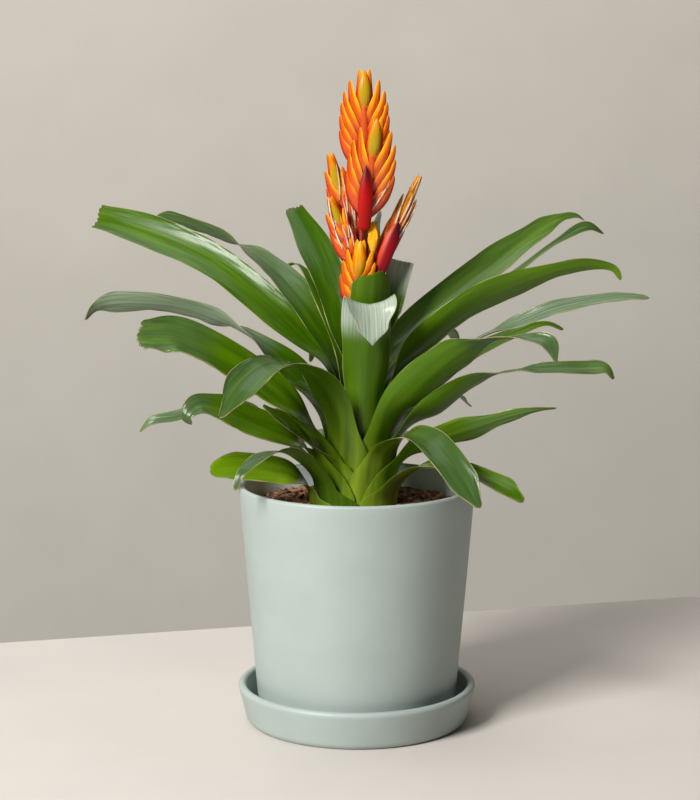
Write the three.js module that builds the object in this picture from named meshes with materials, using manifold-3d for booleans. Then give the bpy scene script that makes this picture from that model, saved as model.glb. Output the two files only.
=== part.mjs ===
// Potted bromeliad: a rosette of strap leaves and a branched spike of flattened bracts,
// growing in a tapered ceramic pot that stands in its own saucer.
// Millimetres, +Z up, +X right and -Y towards the viewer. The origin is the centre of the
// saucer's flat underside.
import * as THREE from 'three';
import { mergeVertices } from 'three/addons/utils/BufferGeometryUtils.js';
import Module from 'manifold-3d';

const wasm = await Module();
wasm.setup();

// Driving dimensions
const gap = 0.3;                // clearance between neighbouring pieces
const ringSides = 40;           // sides of the round ceramic pieces

const saucerFootRadius = 78;
const saucerRimRadius = 83.5;
const saucerHeight = 27.3;
const saucerFloor = 7;          // top of the saucer's floor, on which the pot stands
const saucerLip = 2.8;          // radius of the rounded rim
const saucerWellRadius = 72;    // flat part of the floor

const potFootRadius = 69;
const potRimRadius = 82.5;
const potTop = 169;
const potWall = 4;
const potFloor = 7;
const drainRadius = 6;

const soilLevel = 151.5;
const soilMound = 3;            // how much higher the soil lies round the plant
const soilRough = 1.1;
const plantHoleRadius = 34;
const plantHoleDepth = 14;
const soilSides = 32;

const leafBase = 146;           // height at which every sheath stands on the crown
const leafThick = 0.7;
const leafCup = 1 / 26;         // curvature of the channelled blade
const innerSheath = 6;          // radius of the innermost sheath
const sheathStep = 1.2;         // from one sheath layer to the next
const sheathFlare = 1;          // how much a sheath opens up to where its blade leaves
const sheathWrap = 0.82;        // half angle that a sheath wraps round the plant, radians
const sheathHalfWidth = 16;     // widest half sheath, along its arc
const leanReach = 4;            // the plant leans this far to the right
const leanFrom = 150;
const leanTo = 250;

const stemRadius = 3.4;
const branchRadius = 1.7;
const bractThick = 3;
const bractWide = 7.6;
const heartWide = 9.4;          // bud in the middle of a spike's upper half
const heartThick = 6;
const coreWide = 9;             // body inside a spike, which its bracts stand out of
const coreThick = 4.4;
const rankShift = 0.7;          // bracts stand this far off the middle, in turn
const bractPlaces = [0, 0.22, 0.5, 0.8];    // shares of a bract's length, and its width there
const bractSwell = [0.45, 0.85, 1, 0.62];

const glaze = new THREE.MeshStandardMaterial({ color: '#a9bbb0', roughness: 0.55 });
const bark = new THREE.MeshStandardMaterial({ color: '#4a2e22', roughness: 0.95 });
const wood = new THREE.MeshStandardMaterial({ color: '#8a7a4a', roughness: 0.8 });
const green = new THREE.MeshStandardMaterial({ color: '#3f6f18', roughness: 0.4 });
const orange = new THREE.MeshStandardMaterial({ color: '#f5860c', roughness: 0.45 });
const red = new THREE.MeshStandardMaterial({ color: '#c21010', roughness: 0.4 });
const redBrown = new THREE.MeshStandardMaterial({ color: '#8a3a22', roughness: 0.5 });

const plant = new THREE.Group();

function addPart(name, geometry, material) {
  const mesh = new THREE.Mesh(geometry, material.clone());
  mesh.name = name;
  plant.add(mesh);
}

function mix(a, b, t) {
  return a + (b - a) * t;
}

// Keyed value: pairs of [place, value], eased from one key to the next.
function keyed(keys, s) {
  if (s <= keys[0][0]) return keys[0][1];
  for (let k = 1; k < keys.length; k++) {
    const [from, a] = keys[k - 1];
    const [to, b] = keys[k];
    if (s <= to) return mix(a, b, THREE.MathUtils.smoothstep(s, from, to));
  }
  return keys[keys.length - 1][1];
}

function lean(point) {
  point.x += leanReach * THREE.MathUtils.smoothstep(point.z, leanFrom, leanTo);
  return point;
}

function closedGeometry(points, triangles) {
  const geometry = new THREE.BufferGeometry();
  const flat = points.flatMap((p) => [p.x, p.y, p.z]);
  geometry.setAttribute('position', new THREE.Float32BufferAttribute(flat, 3));
  geometry.setIndex(triangles);
  return geometry;
}

// Solid of a closed geometry, for joining and cutting.
function solidOf(geometry) {
  const bare = geometry.clone();
  bare.deleteAttribute('normal');
  bare.deleteAttribute('uv');
  const merged = mergeVertices(bare, 1e-4);
  return new wasm.Manifold(new wasm.Mesh({
    numProp: 3,
    vertProperties: new Float32Array(merged.attributes.position.array),
    triVerts: new Uint32Array(merged.index.array),
  }));
}

function geometryOf(solid) {
  const mesh = solid.getMesh();
  const geometry = new THREE.BufferGeometry();
  geometry.setAttribute('position', new THREE.Float32BufferAttribute(mesh.vertProperties, 3));
  geometry.setIndex([...mesh.triVerts]);
  return geometry;
}

// A turned shape: [radius, height] pairs round the Z axis.
function turned(profile, sides = ringSides) {
  const outline = profile.map(([radius, height]) => new THREE.Vector2(radius, height));
  const geometry = new THREE.LatheGeometry(outline, sides);
  geometry.rotateX(Math.PI / 2);
  return geometry;
}

function lipArc(centre, height, radius, steps = 3) {
  const arc = [];
  for (let k = 0; k <= steps; k++) {
    const angle = Math.PI * k / steps;
    arc.push([centre + radius * Math.cos(angle), height + radius * Math.sin(angle)]);
  }
  return arc;
}

function makeSaucer() {
  const lipHeight = saucerHeight - saucerLip;
  const profile = [
    [0, 0], [saucerFootRadius - 1.5, 0], [saucerFootRadius, 1.5],
    ...lipArc(saucerRimRadius - saucerLip, lipHeight, saucerLip),
    [saucerWellRadius + 3.5, saucerFloor + 3], [saucerWellRadius, saucerFloor], [0, saucerFloor],
  ];
  addPart('saucer', turned(profile), glaze);
}

function makePot() {
  const lip = potWall / 2;
  const floorTop = saucerFloor + potFloor;
  const floorRadius = potFootRadius - potWall;
  const profile = [
    [drainRadius, saucerFloor], [potFootRadius - 1.5, saucerFloor],
    [potFootRadius, saucerFloor + 1.5],
    ...lipArc(potRimRadius - lip, potTop - lip, lip),
    [floorRadius, floorTop + 3], [floorRadius - 4, floorTop], [drainRadius, floorTop],
    [drainRadius, saucerFloor],
  ];
  addPart('pot', turned(profile), glaze);
}

// Radius of the pot's inner wall at a height.
function potInside(height) {
  const low = saucerFloor + potFloor + 3;
  const high = potTop - potWall / 2;
  return mix(potFootRadius - potWall, potRimRadius - potWall, (height - low) / (high - low));
}

// A small repeatable wobble from three sine waves.
function wobble(a, b) {
  return (Math.sin(a * 5 + b * 0.9) + Math.sin(a * 11 - b * 1.7) + Math.sin(a * 17 + b * 2.3)) / 3;
}

// Soil: rings of points over the top, then down the wall, across the floor and up the hole.
function makeSoil(rings = 4) {
  const bottom = saucerFloor + potFloor + gap;
  const shoulder = bottom + 3;
  const holeFloor = soilLevel - plantHoleDepth;
  const outline = [];
  for (let k = 0; k <= rings; k++) {
    const radius = mix(plantHoleRadius, potInside(soilLevel) - gap, k / rings);
    outline.push([radius, soilLevel + soilMound * (1 - k / rings)]);
  }
  outline.push([potInside(shoulder) - gap - 0.2, shoulder]);
  outline.push([potInside(bottom) - 4.5, bottom]);
  outline.push([0, bottom]);
  outline.push([0, holeFloor]);
  outline.push([plantHoleRadius, holeFloor]);
  const geometry = turned([...outline, outline[0]].reverse(), soilSides);
  const position = geometry.attributes.position;
  for (let k = 0; k < position.count; k++) {
    const [x, y, z] = [position.getX(k), position.getY(k), position.getZ(k)];
    if (z < soilLevel - 1) continue;
    position.setZ(k, z + soilRough * wobble(Math.atan2(y, x), Math.hypot(x, y)));
  }
  addPart('soil', geometry, bark);
}

function makeCrown() {
  const top = leafBase - gap;
  const bottom = soilLevel - plantHoleDepth + gap;
  const radius = plantHoleRadius - gap - 0.4;
  const profile = [[0, bottom], [radius - 4, bottom], [radius, bottom + 3], [radius, top], [0, top]];
  addPart('crown', turned(profile, 16), wood);
}

// Leaves. Each is one strap from its sheath to its tip:
//   azimuth  direction it grows in, degrees from +X towards +Y
//   layer    how far out its sheath wraps the plant, counted in sheath layers
//   rise     height at which it leaves the upright column
//   route    [reach from the axis, height] along its middle line after the sheath
//   width    [share of the length, width] keys
//   twist    [share of the length, degrees] keys, turned about its own middle line
//   flat     1 where the blade opens out flat instead of keeping to the round column
//   steps    how many lengths it is built from
const leaves = [
  // left side, from the top down
  { name: 'leaf_left_high', azimuth: 153, layer: 8.6, rise: 227, steps: 11,
    route: [[26, 250], [43, 264], [69, 285], [126, 321], [193, 342], [218, 347]],
    width: [[0.3, 20], [0.45, 27], [0.85, 28], [1, 20]], twist: [[0.3, 0], [0.5, -42], [1, -55]] },
  { name: 'leaf_left_rear', azimuth: 142, layer: 7, rise: 231, steps: 13,
    route: [[26, 258], [50, 290], [79, 313], [114, 330], [160, 342], [190, 343], [197, 337]],
    width: [[0.3, 18], [0.45, 24], [0.65, 24], [0.8, 14], [0.92, 16], [1, 4]],
    twist: [[0.3, 0], [0.5, -32], [0.66, 0], [0.78, 45], [1, 60]] },
  { name: 'leaf_rear_left_small', azimuth: 132, layer: 5.45, rise: 235, steps: 9,
    route: [[20, 257], [35, 284], [53, 306], [70, 317], [83, 314]],
    width: [[0.3, 11], [0.75, 13], [1, 3]], twist: [[0.3, 0], [0.6, -22], [1, 10]] },
  { name: 'leaf_rear_left_upright', azimuth: 120, layer: 3.8, rise: 246, steps: 9,
    route: [[20, 268], [32, 289], [48, 309], [65, 326], [85, 343], [101, 355]],
    width: [[0.3, 17], [0.42, 18], [0.55, 24], [0.8, 25], [1, 14]],
    twist: [[0.42, 0], [0.6, -26], [1, -35]] },
  { name: 'leaf_left_long', azimuth: 176, layer: 11.6, rise: 208, steps: 14,
    route: [[29, 228], [52, 251], [83, 274], [121, 290], [167, 294], [187, 290], [194, 282]],
    width: [[0.3, 25], [0.55, 22], [0.7, 18], [0.9, 18], [1, 4]],
    twist: [[0.3, 0], [0.42, -42], [0.56, 0], [0.66, 48], [0.9, 60], [1, 20]] },
  { name: 'leaf_left_broad', azimuth: 190, layer: 14.9, rise: 190, steps: 10,
    route: [[34, 206], [61, 234], [103, 263], [130, 275], [156, 276]],
    width: [[0.3, 29], [0.85, 29], [1, 22]], twist: [[0.28, 0], [0.5, -48], [1, -60]] },
  { name: 'leaf_left_short', azimuth: 214, layer: 16, rise: 184, steps: 8,
    route: [[32, 192], [43, 202], [61, 217], [81, 231]],
    width: [[0.3, 22], [0.75, 18], [1, 3]], twist: [[0.3, 0], [0.7, -35], [1, -45]] },
  { name: 'leaf_front_left', azimuth: 226, layer: 12.7, rise: 200, steps: 15,
    route: [[25, 218], [33, 233], [47, 248], [66, 258], [90, 261], [113, 251], [134, 231]],
    width: [[0.3, 27], [0.55, 25], [0.68, 20], [0.85, 26], [1, 5]],
    twist: [[0.28, 0], [0.45, 22], [0.62, 0], [0.75, -25], [1, -28]] },
  { name: 'leaf_left_mid', azimuth: 205, layer: 18.2, rise: 178, steps: 13,
    route: [[35, 190], [49, 202], [86, 219], [107, 229], [122, 232], [130, 225], [126, 219]],
    width: [[0.3, 28], [0.7, 26], [0.88, 17], [1, 4]],
    twist: [[0.28, 0], [0.5, -45], [0.8, -50], [1, -50]] },
  { name: 'leaf_left_thin', azimuth: 178, layer: 19.4, rise: 172, steps: 14,
    route: [[36, 184], [59, 204], [84, 222], [104, 225], [128, 216], [146, 212], [154, 204]],
    width: [[0.3, 20], [0.5, 16], [0.68, 7], [0.84, 8], [0.92, 7], [1, 3]],
    twist: [[0.3, 0], [0.55, -30], [0.68, 40], [0.85, 90], [1, 140]] },
  { name: 'leaf_low_left', azimuth: 194, layer: 22, rise: 158, steps: 10,
    route: [[36, 167], [46, 175], [60, 180], [78, 183], [92, 184], [105, 182]],
    width: [[0.3, 22], [0.8, 22], [1, 12]], twist: [[0.2, 0], [0.5, -50], [1, -60]] },
  { name: 'leaf_low_front_left', azimuth: 221, layer: 20.5, rise: 163, steps: 12,
    route: [[34, 173], [48, 189], [66, 199], [88, 198], [104, 189], [109, 178]],
    width: [[0.3, 20], [0.7, 15], [1, 4]], twist: [[0.2, 0], [0.5, 15], [1, -20]] },

  // right side, from the top down
  { name: 'leaf_right_high', azimuth: 35, layer: 4.9, rise: 236, steps: 12,
    route: [[23, 258], [44, 276], [75, 295], [110, 314], [146, 333], [176, 346], [192, 347], [200, 343]],
    width: [[0.3, 17], [0.45, 24], [0.7, 24], [0.86, 15], [0.94, 6], [1, 4]],
    twist: [[0.3, 0], [0.5, 38], [1, 50]] },
  { name: 'leaf_right_slender', azimuth: 22, layer: 6.4, rise: 230, steps: 12,
    route: [[24, 246.5], [46, 265], [80, 288], [118, 313], [150, 333], [174, 343], [187, 337]],
    width: [[0.3, 14], [0.5, 8], [0.85, 4], [0.94, 8], [1, 3]], twist: [[0.3, 0], [0.6, 30], [1, 50]] },
  { name: 'leaf_right_upper', azimuth: 6, layer: 7.5, rise: 222, steps: 12,
    route: [[24, 243], [46, 268], [76, 291], [107, 306], [138, 316.5], [161, 320], [176, 317], [181, 309]],
    width: [[0.3, 23], [0.42, 32], [0.62, 30], [0.85, 13], [1, 4]],
    twist: [[0.3, 0], [0.46, -48], [1, -62]] },
  { name: 'leaf_right_mid', azimuth: 356, layer: 10.5, rise: 210, steps: 13,
    route: [[27, 227], [47, 249], [74, 268], [107, 283], [132, 293], [160, 299], [184, 301], [196, 300]],
    width: [[0.3, 22], [0.5, 17], [0.7, 12], [0.9, 8], [1, 4]],
    twist: [[0.28, 0], [0.42, -45], [0.58, 0], [0.68, 48], [1, 60]] },
  { name: 'leaf_right_inner', azimuth: 25, layer: 13.8, rise: 196, steps: 9,
    route: [[31, 211], [55, 237], [85, 255], [118, 267], [146, 273], [160, 268]],
    width: [[0.3, 20], [0.7, 13], [1, 3]], twist: [[0.3, 0], [0.6, 25], [1, 40]] },
  { name: 'leaf_right_front', azimuth: 334, layer: 11.6, rise: 204, steps: 16,
    route: [[27, 221], [47, 243], [73, 264], [96, 275], [120, 278], [137, 276], [143, 262]],
    width: [[0.3, 32], [0.46, 35], [0.6, 30], [0.75, 9], [0.86, 8], [0.93, 11], [1, 3]],
    twist: [[0.26, 0], [0.42, -45], [0.62, -50], [0.8, 0], [0.9, 45], [1, 60]] },
  { name: 'leaf_right_lower', azimuth: 352, layer: 14.9, rise: 194, steps: 15,
    route: [[32, 207], [48, 221], [68, 236], [90, 247], [120, 252], [152, 253], [167, 253], [173, 246]],
    width: [[0.3, 25], [0.5, 24], [0.66, 9], [0.8, 10], [0.92, 11], [1, 4]],
    twist: [[0.26, 0], [0.4, -45], [0.55, -35], [0.68, 0], [0.76, 48], [0.92, 50], [1, 20]] },
  { name: 'leaf_right_low', azimuth: 342, layer: 17.2, rise: 178, steps: 11,
    route: [[33, 187], [44, 195], [63, 205], [84, 213], [104, 221], [124, 227], [138, 229]],
    width: [[0.3, 27], [0.55, 24], [0.75, 11], [1, 3]],
    twist: [[0.25, 0], [0.42, -45], [0.8, -62], [1, -50]] },
  { name: 'leaf_front_right', azimuth: 310, layer: 16, rise: 182, steps: 14,
    route: [[29, 194], [38, 203], [52, 210], [68, 209], [86, 201], [106, 187], [124, 171]],
    width: [[0.3, 28], [0.5, 23], [0.85, 21], [1, 6]], twist: [[0.28, 0], [0.5, 18], [0.7, 30], [1, 35]] },
  { name: 'leaf_low_front_right', azimuth: 326, layer: 18.4, rise: 163, steps: 12,
    route: [[35, 173], [47, 183], [62, 188], [82, 188], [104, 183], [120, 178], [133, 171]],
    width: [[0.3, 24], [0.6, 20], [0.85, 18], [1, 5]], twist: [[0.22, 0], [0.6, 10], [1, 28]] },

  // upright leaves round the flower stem
  { name: 'leaf_centre_front', azimuth: 280, layer: 6.3, rise: 246, steps: 16, flat: 1,
    route: [[19, 274], [21, 288], [25, 297], [31, 296], [35, 286], [37, 270]],
    width: [[0.3, 22], [0.42, 24], [0.58, 34], [0.74, 38], [0.85, 37], [0.93, 22], [1, 3]],
    twist: [[0, 0], [1, 0]] },
  { name: 'leaf_centre_lobe', azimuth: 297, layer: 3.6, rise: 258, steps: 10, flat: 1,
    route: [[14.5, 290], [17.5, 319]],
    width: [[0.3, 16], [0.6, 20], [0.85, 29], [0.94, 27], [1, 15]], twist: [[0, 0], [1, 0]] },
  { name: 'leaf_centre_right', azimuth: 30, layer: 2.4, rise: 256, steps: 11,
    route: [[15, 271], [21, 286], [26, 303], [29, 314], [31.5, 323]],
    width: [[0.3, 11], [0.66, 11], [0.82, 17], [1, 18]], twist: [[0.64, 0], [0.86, 48], [1, 52]] },
  { name: 'leaf_centre_point', azimuth: 58, layer: 1.1, rise: 256, steps: 7,
    route: [[10, 283], [16, 301], [27, 318], [36, 332]],
    width: [[0.3, 11], [0.7, 14], [1, 2]], twist: [[0, 0], [1, 0]] },
  { name: 'leaf_centre_rear', azimuth: 68, layer: 0, rise: 262, steps: 8,
    route: [[8, 290], [15, 320], [25, 346], [33, 356]],
    width: [[0.3, 10], [0.6, 12], [0.8, 15], [1, 3]], twist: [[0.5, 0], [0.8, 25], [1, 40]] },

  // the back of the rosette
  { name: 'leaf_rear_right_high', azimuth: 62, layer: 9.4, rise: 214, steps: 10,
    route: [[26, 236], [44, 254], [70, 268], [104, 270], [140, 258], [163, 238]],
    width: [[0.3, 26], [0.8, 25], [1, 4]], twist: [[0.3, 0], [0.7, 15], [1, 30]] },
  { name: 'leaf_rear_high', azimuth: 104, layer: 10.5, rise: 212, steps: 10,
    route: [[26, 232], [44, 252], [70, 266], [108, 266], [144, 248], [160, 232]],
    width: [[0.3, 26], [0.8, 26], [1, 4]], twist: [[0.3, 0], [0.7, -12], [1, -25]] },
  { name: 'leaf_rear_mid', azimuth: 88, layer: 12.7, rise: 203, steps: 10,
    route: [[28, 216], [46, 229], [76, 240], [118, 238], [152, 216]],
    width: [[0.3, 27], [0.8, 25], [1, 4]], twist: [[0.3, 0], [1, 10]] },
  { name: 'leaf_rear_left_mid', azimuth: 134, layer: 13.8, rise: 197, steps: 9,
    route: [[30, 210], [46, 224], [76, 236], [108, 236], [132, 222]],
    width: [[0.3, 26], [0.8, 24], [1, 4]], twist: [[0.3, 0], [1, -12]] },
  { name: 'leaf_rear_right_mid', azimuth: 50, layer: 16, rise: 188, steps: 9,
    route: [[33, 202], [50, 214], [78, 222], [106, 219], [128, 207]],
    width: [[0.3, 25], [0.8, 22], [1, 4]], twist: [[0.3, 0], [1, 18]] },
  { name: 'leaf_low_rear_left', azimuth: 114, layer: 18.4, rise: 164, steps: 9,
    route: [[37, 175], [50, 184], [72, 190], [100, 186], [122, 172]],
    width: [[0.3, 24], [0.8, 21], [1, 4]], twist: [[0.3, 0], [1, -10]] },
  { name: 'leaf_low_rear_right', azimuth: 70, layer: 17.2, rise: 168, steps: 9,
    route: [[36, 178], [50, 187], [73, 192], [102, 188], [124, 175]],
    width: [[0.3, 24], [0.8, 21], [1, 4]], twist: [[0.3, 0], [1, 10]] },
  { name: 'leaf_low_left_rear', azimuth: 156, layer: 17, rise: 180, steps: 8,
    route: [[33, 193], [47, 204], [68, 212], [90, 212]],
    width: [[0.3, 24], [0.75, 20], [1, 3]], twist: [[0.3, 0], [1, -20]] },
];

function sheathRadius(leaf) {
  return innerSheath + sheathStep * leaf.layer;
}

function leafCurve(leaf) {
  const azimuth = THREE.MathUtils.degToRad(leaf.azimuth);
  const out = new THREE.Vector3(Math.cos(azimuth), Math.sin(azimuth), 0);
  const radius = sheathRadius(leaf);
  const sheath = [0, 0.5, 1].map((t) => [radius + sheathFlare * t * t, mix(leafBase, leaf.rise, t)]);
  const line = [...sheath, ...leaf.route];
  const points = line.map(([reach, height]) => out.clone().multiplyScalar(reach).setZ(height));
  return new THREE.CatmullRomCurve3(points, false, 'centripetal');
}

// Middle line sampled closely: place, share of the length, and the frame of the blade there.
function leafFrames(leaf, samples = 240) {
  const curve = leafCurve(leaf);
  const azimuth = THREE.MathUtils.degToRad(leaf.azimuth);
  const across = new THREE.Vector3(-Math.sin(azimuth), Math.cos(azimuth), 0);
  const frames = [];
  let length = 0;
  for (let k = 0; k <= samples; k++) {
    const place = curve.getPoint(k / samples);
    if (k > 0) length += place.distanceTo(frames[k - 1].place);
    const along = curve.getTangent(k / samples);
    const side = across.clone().addScaledVector(along, -across.dot(along)).normalize();
    frames.push({ place, length, along, side, face: along.clone().cross(side) });
  }
  for (const frame of frames) {
    frame.share = frame.length / length;
    const turn = THREE.MathUtils.degToRad(keyed(leaf.twist, frame.share));
    const side = frame.side.clone().multiplyScalar(Math.cos(turn));
    side.addScaledVector(frame.face, Math.sin(turn));
    frame.face = frame.along.clone().cross(side);
    frame.side = side;
  }
  return frames;
}

// Stations closer together where the blade bends or twists.
function pickStations(frames, steps) {
  const effort = [0];
  for (let k = 1; k < frames.length; k++) {
    const before = frames[k - 1];
    const here = frames[k];
    const bend = before.along.angleTo(here.along) + 0.6 * before.side.angleTo(here.side);
    effort.push(effort[k - 1] + 2.2 * (here.share - before.share) + bend);
  }
  const total = effort[effort.length - 1];
  const picked = [];
  for (let step = 0; step <= steps; step++) {
    picked.push(frames[effort.findIndex((e) => e >= total * step / steps - 1e-9)]);
  }
  return picked;
}

// One blade: at each station an arc across the middle line, thickened to both sides. The arc's
// chords bow as far out as in, so that the sheaths nest.
function leafGeometry(leaf, columns = 4) {
  const stations = pickStations(leafFrames(leaf), leaf.steps);
  const points = [];
  const wrap = Math.min(sheathRadius(leaf) * sheathWrap, sheathHalfWidth);
  for (const { place, share, side, face } of stations) {
    const reach = Math.hypot(place.x, place.y);
    const flat = (leaf.flat ?? 0) * THREE.MathUtils.smoothstep(share, 0.42, 0.6);
    const bend = Math.max(mix(1 / reach, leafCup, flat), leafCup);
    const half = mix(wrap, keyed(leaf.width, share) / 2, THREE.MathUtils.smoothstep(share, 0.04, 0.32));
    const centre = place.clone().addScaledVector(face, 1 / bend);
    const bow = (1 - Math.cos(bend * half / columns)) / bend;
    for (const layer of [0.5, -0.5]) {
      const radius = 1 / bend + bow / 2 - layer * leafThick;
      for (let column = 0; column <= columns; column++) {
        const angle = bend * half * (2 * column / columns - 1);
        const point = centre.clone()
          .addScaledVector(side, Math.sin(angle) * radius)
          .addScaledVector(face, -Math.cos(angle) * radius);
        points.push(lean(point));
      }
    }
  }
  return closedGeometry(points, strapTriangles(stations.length - 1, columns));
}

// Triangles of a strap: both faces split alike, two edges and two ends.
function strapTriangles(steps, columns) {
  const row = columns + 1;
  const top = (i, j) => i * 2 * row + j;
  const low = (i, j) => top(i, j) + row;
  const triangles = [];
  const quad = (a, b, c, d) => triangles.push(a, b, c, a, c, d);
  for (let i = 0; i < steps; i++) {
    for (let j = 0; j < columns; j++) {
      quad(top(i, j), top(i + 1, j), top(i + 1, j + 1), top(i, j + 1));
      triangles.push(low(i, j), low(i + 1, j + 1), low(i + 1, j));
      triangles.push(low(i, j), low(i, j + 1), low(i + 1, j + 1));
    }
    quad(low(i, 0), low(i + 1, 0), top(i + 1, 0), top(i, 0));
    quad(low(i + 1, columns), low(i, columns), top(i, columns), top(i + 1, columns));
  }
  for (let j = 0; j < columns; j++) {
    quad(low(0, j), top(0, j), top(0, j + 1), low(0, j + 1));
    quad(top(steps, j), low(steps, j), low(steps, j + 1), top(steps, j + 1));
  }
  return triangles;
}

function makeLeaves() {
  for (const leaf of leaves) addPart(leaf.name, leafGeometry(leaf), green);
}

// Flower stem with its short side branches, and the flattened bract spikes that they carry.
//   base    lower end of the spike
//   tilt    lean to the right, degrees
//   nod     lean towards the viewer, degrees
//   ranks   bracts on each side
//   from    height at which its branch leaves the stem
const spikes = [
  { name: 'spike_top', base: [5, 1.5, 390], tilt: 0, nod: -2, length: 65, spread: 16.5,
    ranks: 6, bract: 36 },
  { name: 'spike_upper_front', base: [6, -8.5, 360], tilt: 7, nod: 6, length: 64, spread: 16,
    ranks: 5, bract: 38, from: 346 },
  { name: 'spike_left', base: [-3, 4, 335], tilt: -14, nod: 0, length: 65, spread: 8,
    ranks: 4, bract: 33, from: 322 },
  { name: 'spike_lower_left', base: [-4, -3, 326], tilt: -19, nod: 0, length: 45, spread: 7.5,
    ranks: 3, bract: 28, from: 310 },
  { name: 'spike_lower_front', base: [-0.5, -6.5, 296], tilt: 4, nod: 4, length: 44, spread: 11.5,
    ranks: 4, bract: 27, from: 286 },
  { name: 'spike_bud', base: [10.5, -6, 330], tilt: 2, nod: 0, length: 22, spread: 3,
    ranks: 1, bract: 16, from: 318 },
  { name: 'spike_right', base: [12.5, 2.5, 317], tilt: 25, nod: 0, length: 73, spread: 6,
    ranks: 3, bract: 40, from: 304 },
];

// Red boat-shaped bracts in front of the branches: lower end on the stem, tip, width, and how
// far the middle stands out towards the viewer.
const primaryBracts = [
  { name: 'primary_bract_front', from: [4.8, -3.9, 334], to: [6.2, -15.6, 391], width: 9, bulge: 6 },
  { name: 'primary_bract_right', from: [9.2, -2.2, 302], to: [28.5, -2.4, 352], width: 10, bulge: 3.5 },
];

function tube(points, radius, sides = 10, steps = 8) {
  const path = new THREE.CatmullRomCurve3(points.map((p) => new THREE.Vector3(...p)));
  const section = new THREE.Shape();
  section.absellipse(0, 0, radius, radius, 0, 2 * Math.PI);
  const shape = new THREE.Shape(section.getPoints(sides).slice(0, sides));
  return new THREE.ExtrudeGeometry(shape, { steps, extrudePath: path, bevelEnabled: false });
}

function makeStem() {
  const top = spikes[0].base;
  let stem = solidOf(tube([
    [0, 0, leafBase], [0.5, 0, 190], [leanReach, 0, 260], [leanReach + 0.7, 0, 330],
    [top[0], top[1], top[2] - gap],
  ], stemRadius, 8, 7));
  for (const { base: [x, y, z], from } of spikes.slice(1)) {
    const branch = tube([
      [leanReach + 0.5, 0, from], [mix(leanReach, x, 0.55), y * 0.5, mix(from, z, 0.4)], [x, y, z - gap],
    ], branchRadius, 6, 2);
    stem = stem.add(solidOf(branch));
  }
  addPart('flower_stem', geometryOf(stem), redBrown);
}

// One bract along a path in the spike's own plane: a four-sided section that swells and then
// narrows to the tip.
function bractGeometry(path, width, thick, depth = 0) {
  const points = [];
  bractPlaces.forEach((t, k) => {
    const place = path.getPoint(t);
    const along = path.getTangent(t);
    const reach = width / 2 * bractSwell[k];
    const rise = thick / 2 * bractSwell[k];
    points.push(new THREE.Vector3(place.x + along.y * reach, depth, place.y - along.x * reach));
    points.push(new THREE.Vector3(place.x, depth + rise, place.y));
    points.push(new THREE.Vector3(place.x - along.y * reach, depth, place.y + along.x * reach));
    points.push(new THREE.Vector3(place.x, depth - rise, place.y));
  });
  const tip = path.getPoint(1);
  points.push(new THREE.Vector3(tip.x, depth, tip.y));
  return closedGeometry(points, coneTriangles(bractPlaces.length, 4));
}

// Triangles of rings of points that close on one last point.
function coneTriangles(rings, sides) {
  const triangles = [];
  for (let j = 1; j < sides - 1; j++) triangles.push(0, j + 1, j);
  for (let k = 0; k < rings - 1; k++) {
    for (let j = 0; j < sides; j++) {
      const a = k * sides + j;
      const b = k * sides + (j + 1) % sides;
      triangles.push(a, b, b + sides, a, b + sides, a + sides);
    }
  }
  const last = rings * sides;
  for (let j = 0; j < sides; j++) triangles.push(last - sides + j, last - sides + (j + 1) % sides, last);
  return triangles;
}

// Middle line of the bract of one rank: it leaves the axis, spreads, and turns up at its tip.
function bractPath(spike, rank, side) {
  const t = (rank + 1) / spike.ranks;
  const height = spike.length * (0.15 + 0.85 * t ** 0.75);
  const reach = side * spike.spread * Math.max((1 - t ** 3.5) ** 0.7, 0.2);
  const root = Math.max(height - spike.bract, 2 + rank);
  const rise = height - root;
  return new THREE.CubicBezierCurve(
    new THREE.Vector2(side * 0.6, root), new THREE.Vector2(reach * 0.5, root + 0.3 * rise),
    new THREE.Vector2(reach * 0.92, root + 0.62 * rise), new THREE.Vector2(reach, height));
}

function makeSpike(spike) {
  const core = new THREE.SphereGeometry(0.5, 6, 4);
  core.rotateX(Math.PI / 2);
  core.scale(Math.min(coreWide, spike.spread), coreThick, spike.length * 0.75);
  core.translate(0, 0, spike.length * 0.375);
  let solid = solidOf(core);
  for (let rank = 0; rank < spike.ranks; rank++) {
    for (const side of [-1, 1]) {
      const depth = side * (rank % 2 ? rankShift : -rankShift);
      const bract = bractGeometry(bractPath(spike, rank, side), bractWide, bractThick, depth);
      solid = solid.add(solidOf(bract));
    }
  }
  const middle = new THREE.LineCurve(
    new THREE.Vector2(0, spike.length * 0.46), new THREE.Vector2(0, spike.length * 0.985));
  const heart = bractGeometry(middle, Math.min(heartWide, 0.9 * spike.spread), heartThick);
  solid = solid.add(solidOf(heart));
  const geometry = geometryOf(solid);
  geometry.rotateX(THREE.MathUtils.degToRad(spike.nod));
  geometry.rotateY(THREE.MathUtils.degToRad(spike.tilt));
  geometry.translate(...spike.base);
  addPart(spike.name, geometry, orange);
}

function makePrimaryBract({ name, from, to, width, bulge }) {
  const start = new THREE.Vector3(...from);
  const reach = new THREE.Vector3(...to).sub(start);
  const length = reach.length();
  const path = new THREE.LineCurve(new THREE.Vector2(0, 0), new THREE.Vector2(0, length));
  const geometry = bractGeometry(path, width, 2.4);
  const position = geometry.attributes.position;
  for (let k = 0; k < position.count; k++) {
    const out = bulge * Math.sin(Math.PI * position.getZ(k) / length);
    position.setY(k, position.getY(k) - out);
  }
  const up = new THREE.Vector3(0, 0, 1);
  const turn = new THREE.Quaternion().setFromUnitVectors(up, reach.normalize());
  geometry.applyQuaternion(turn);
  geometry.translate(...from);
  addPart(name, geometry, red);
}

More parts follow.
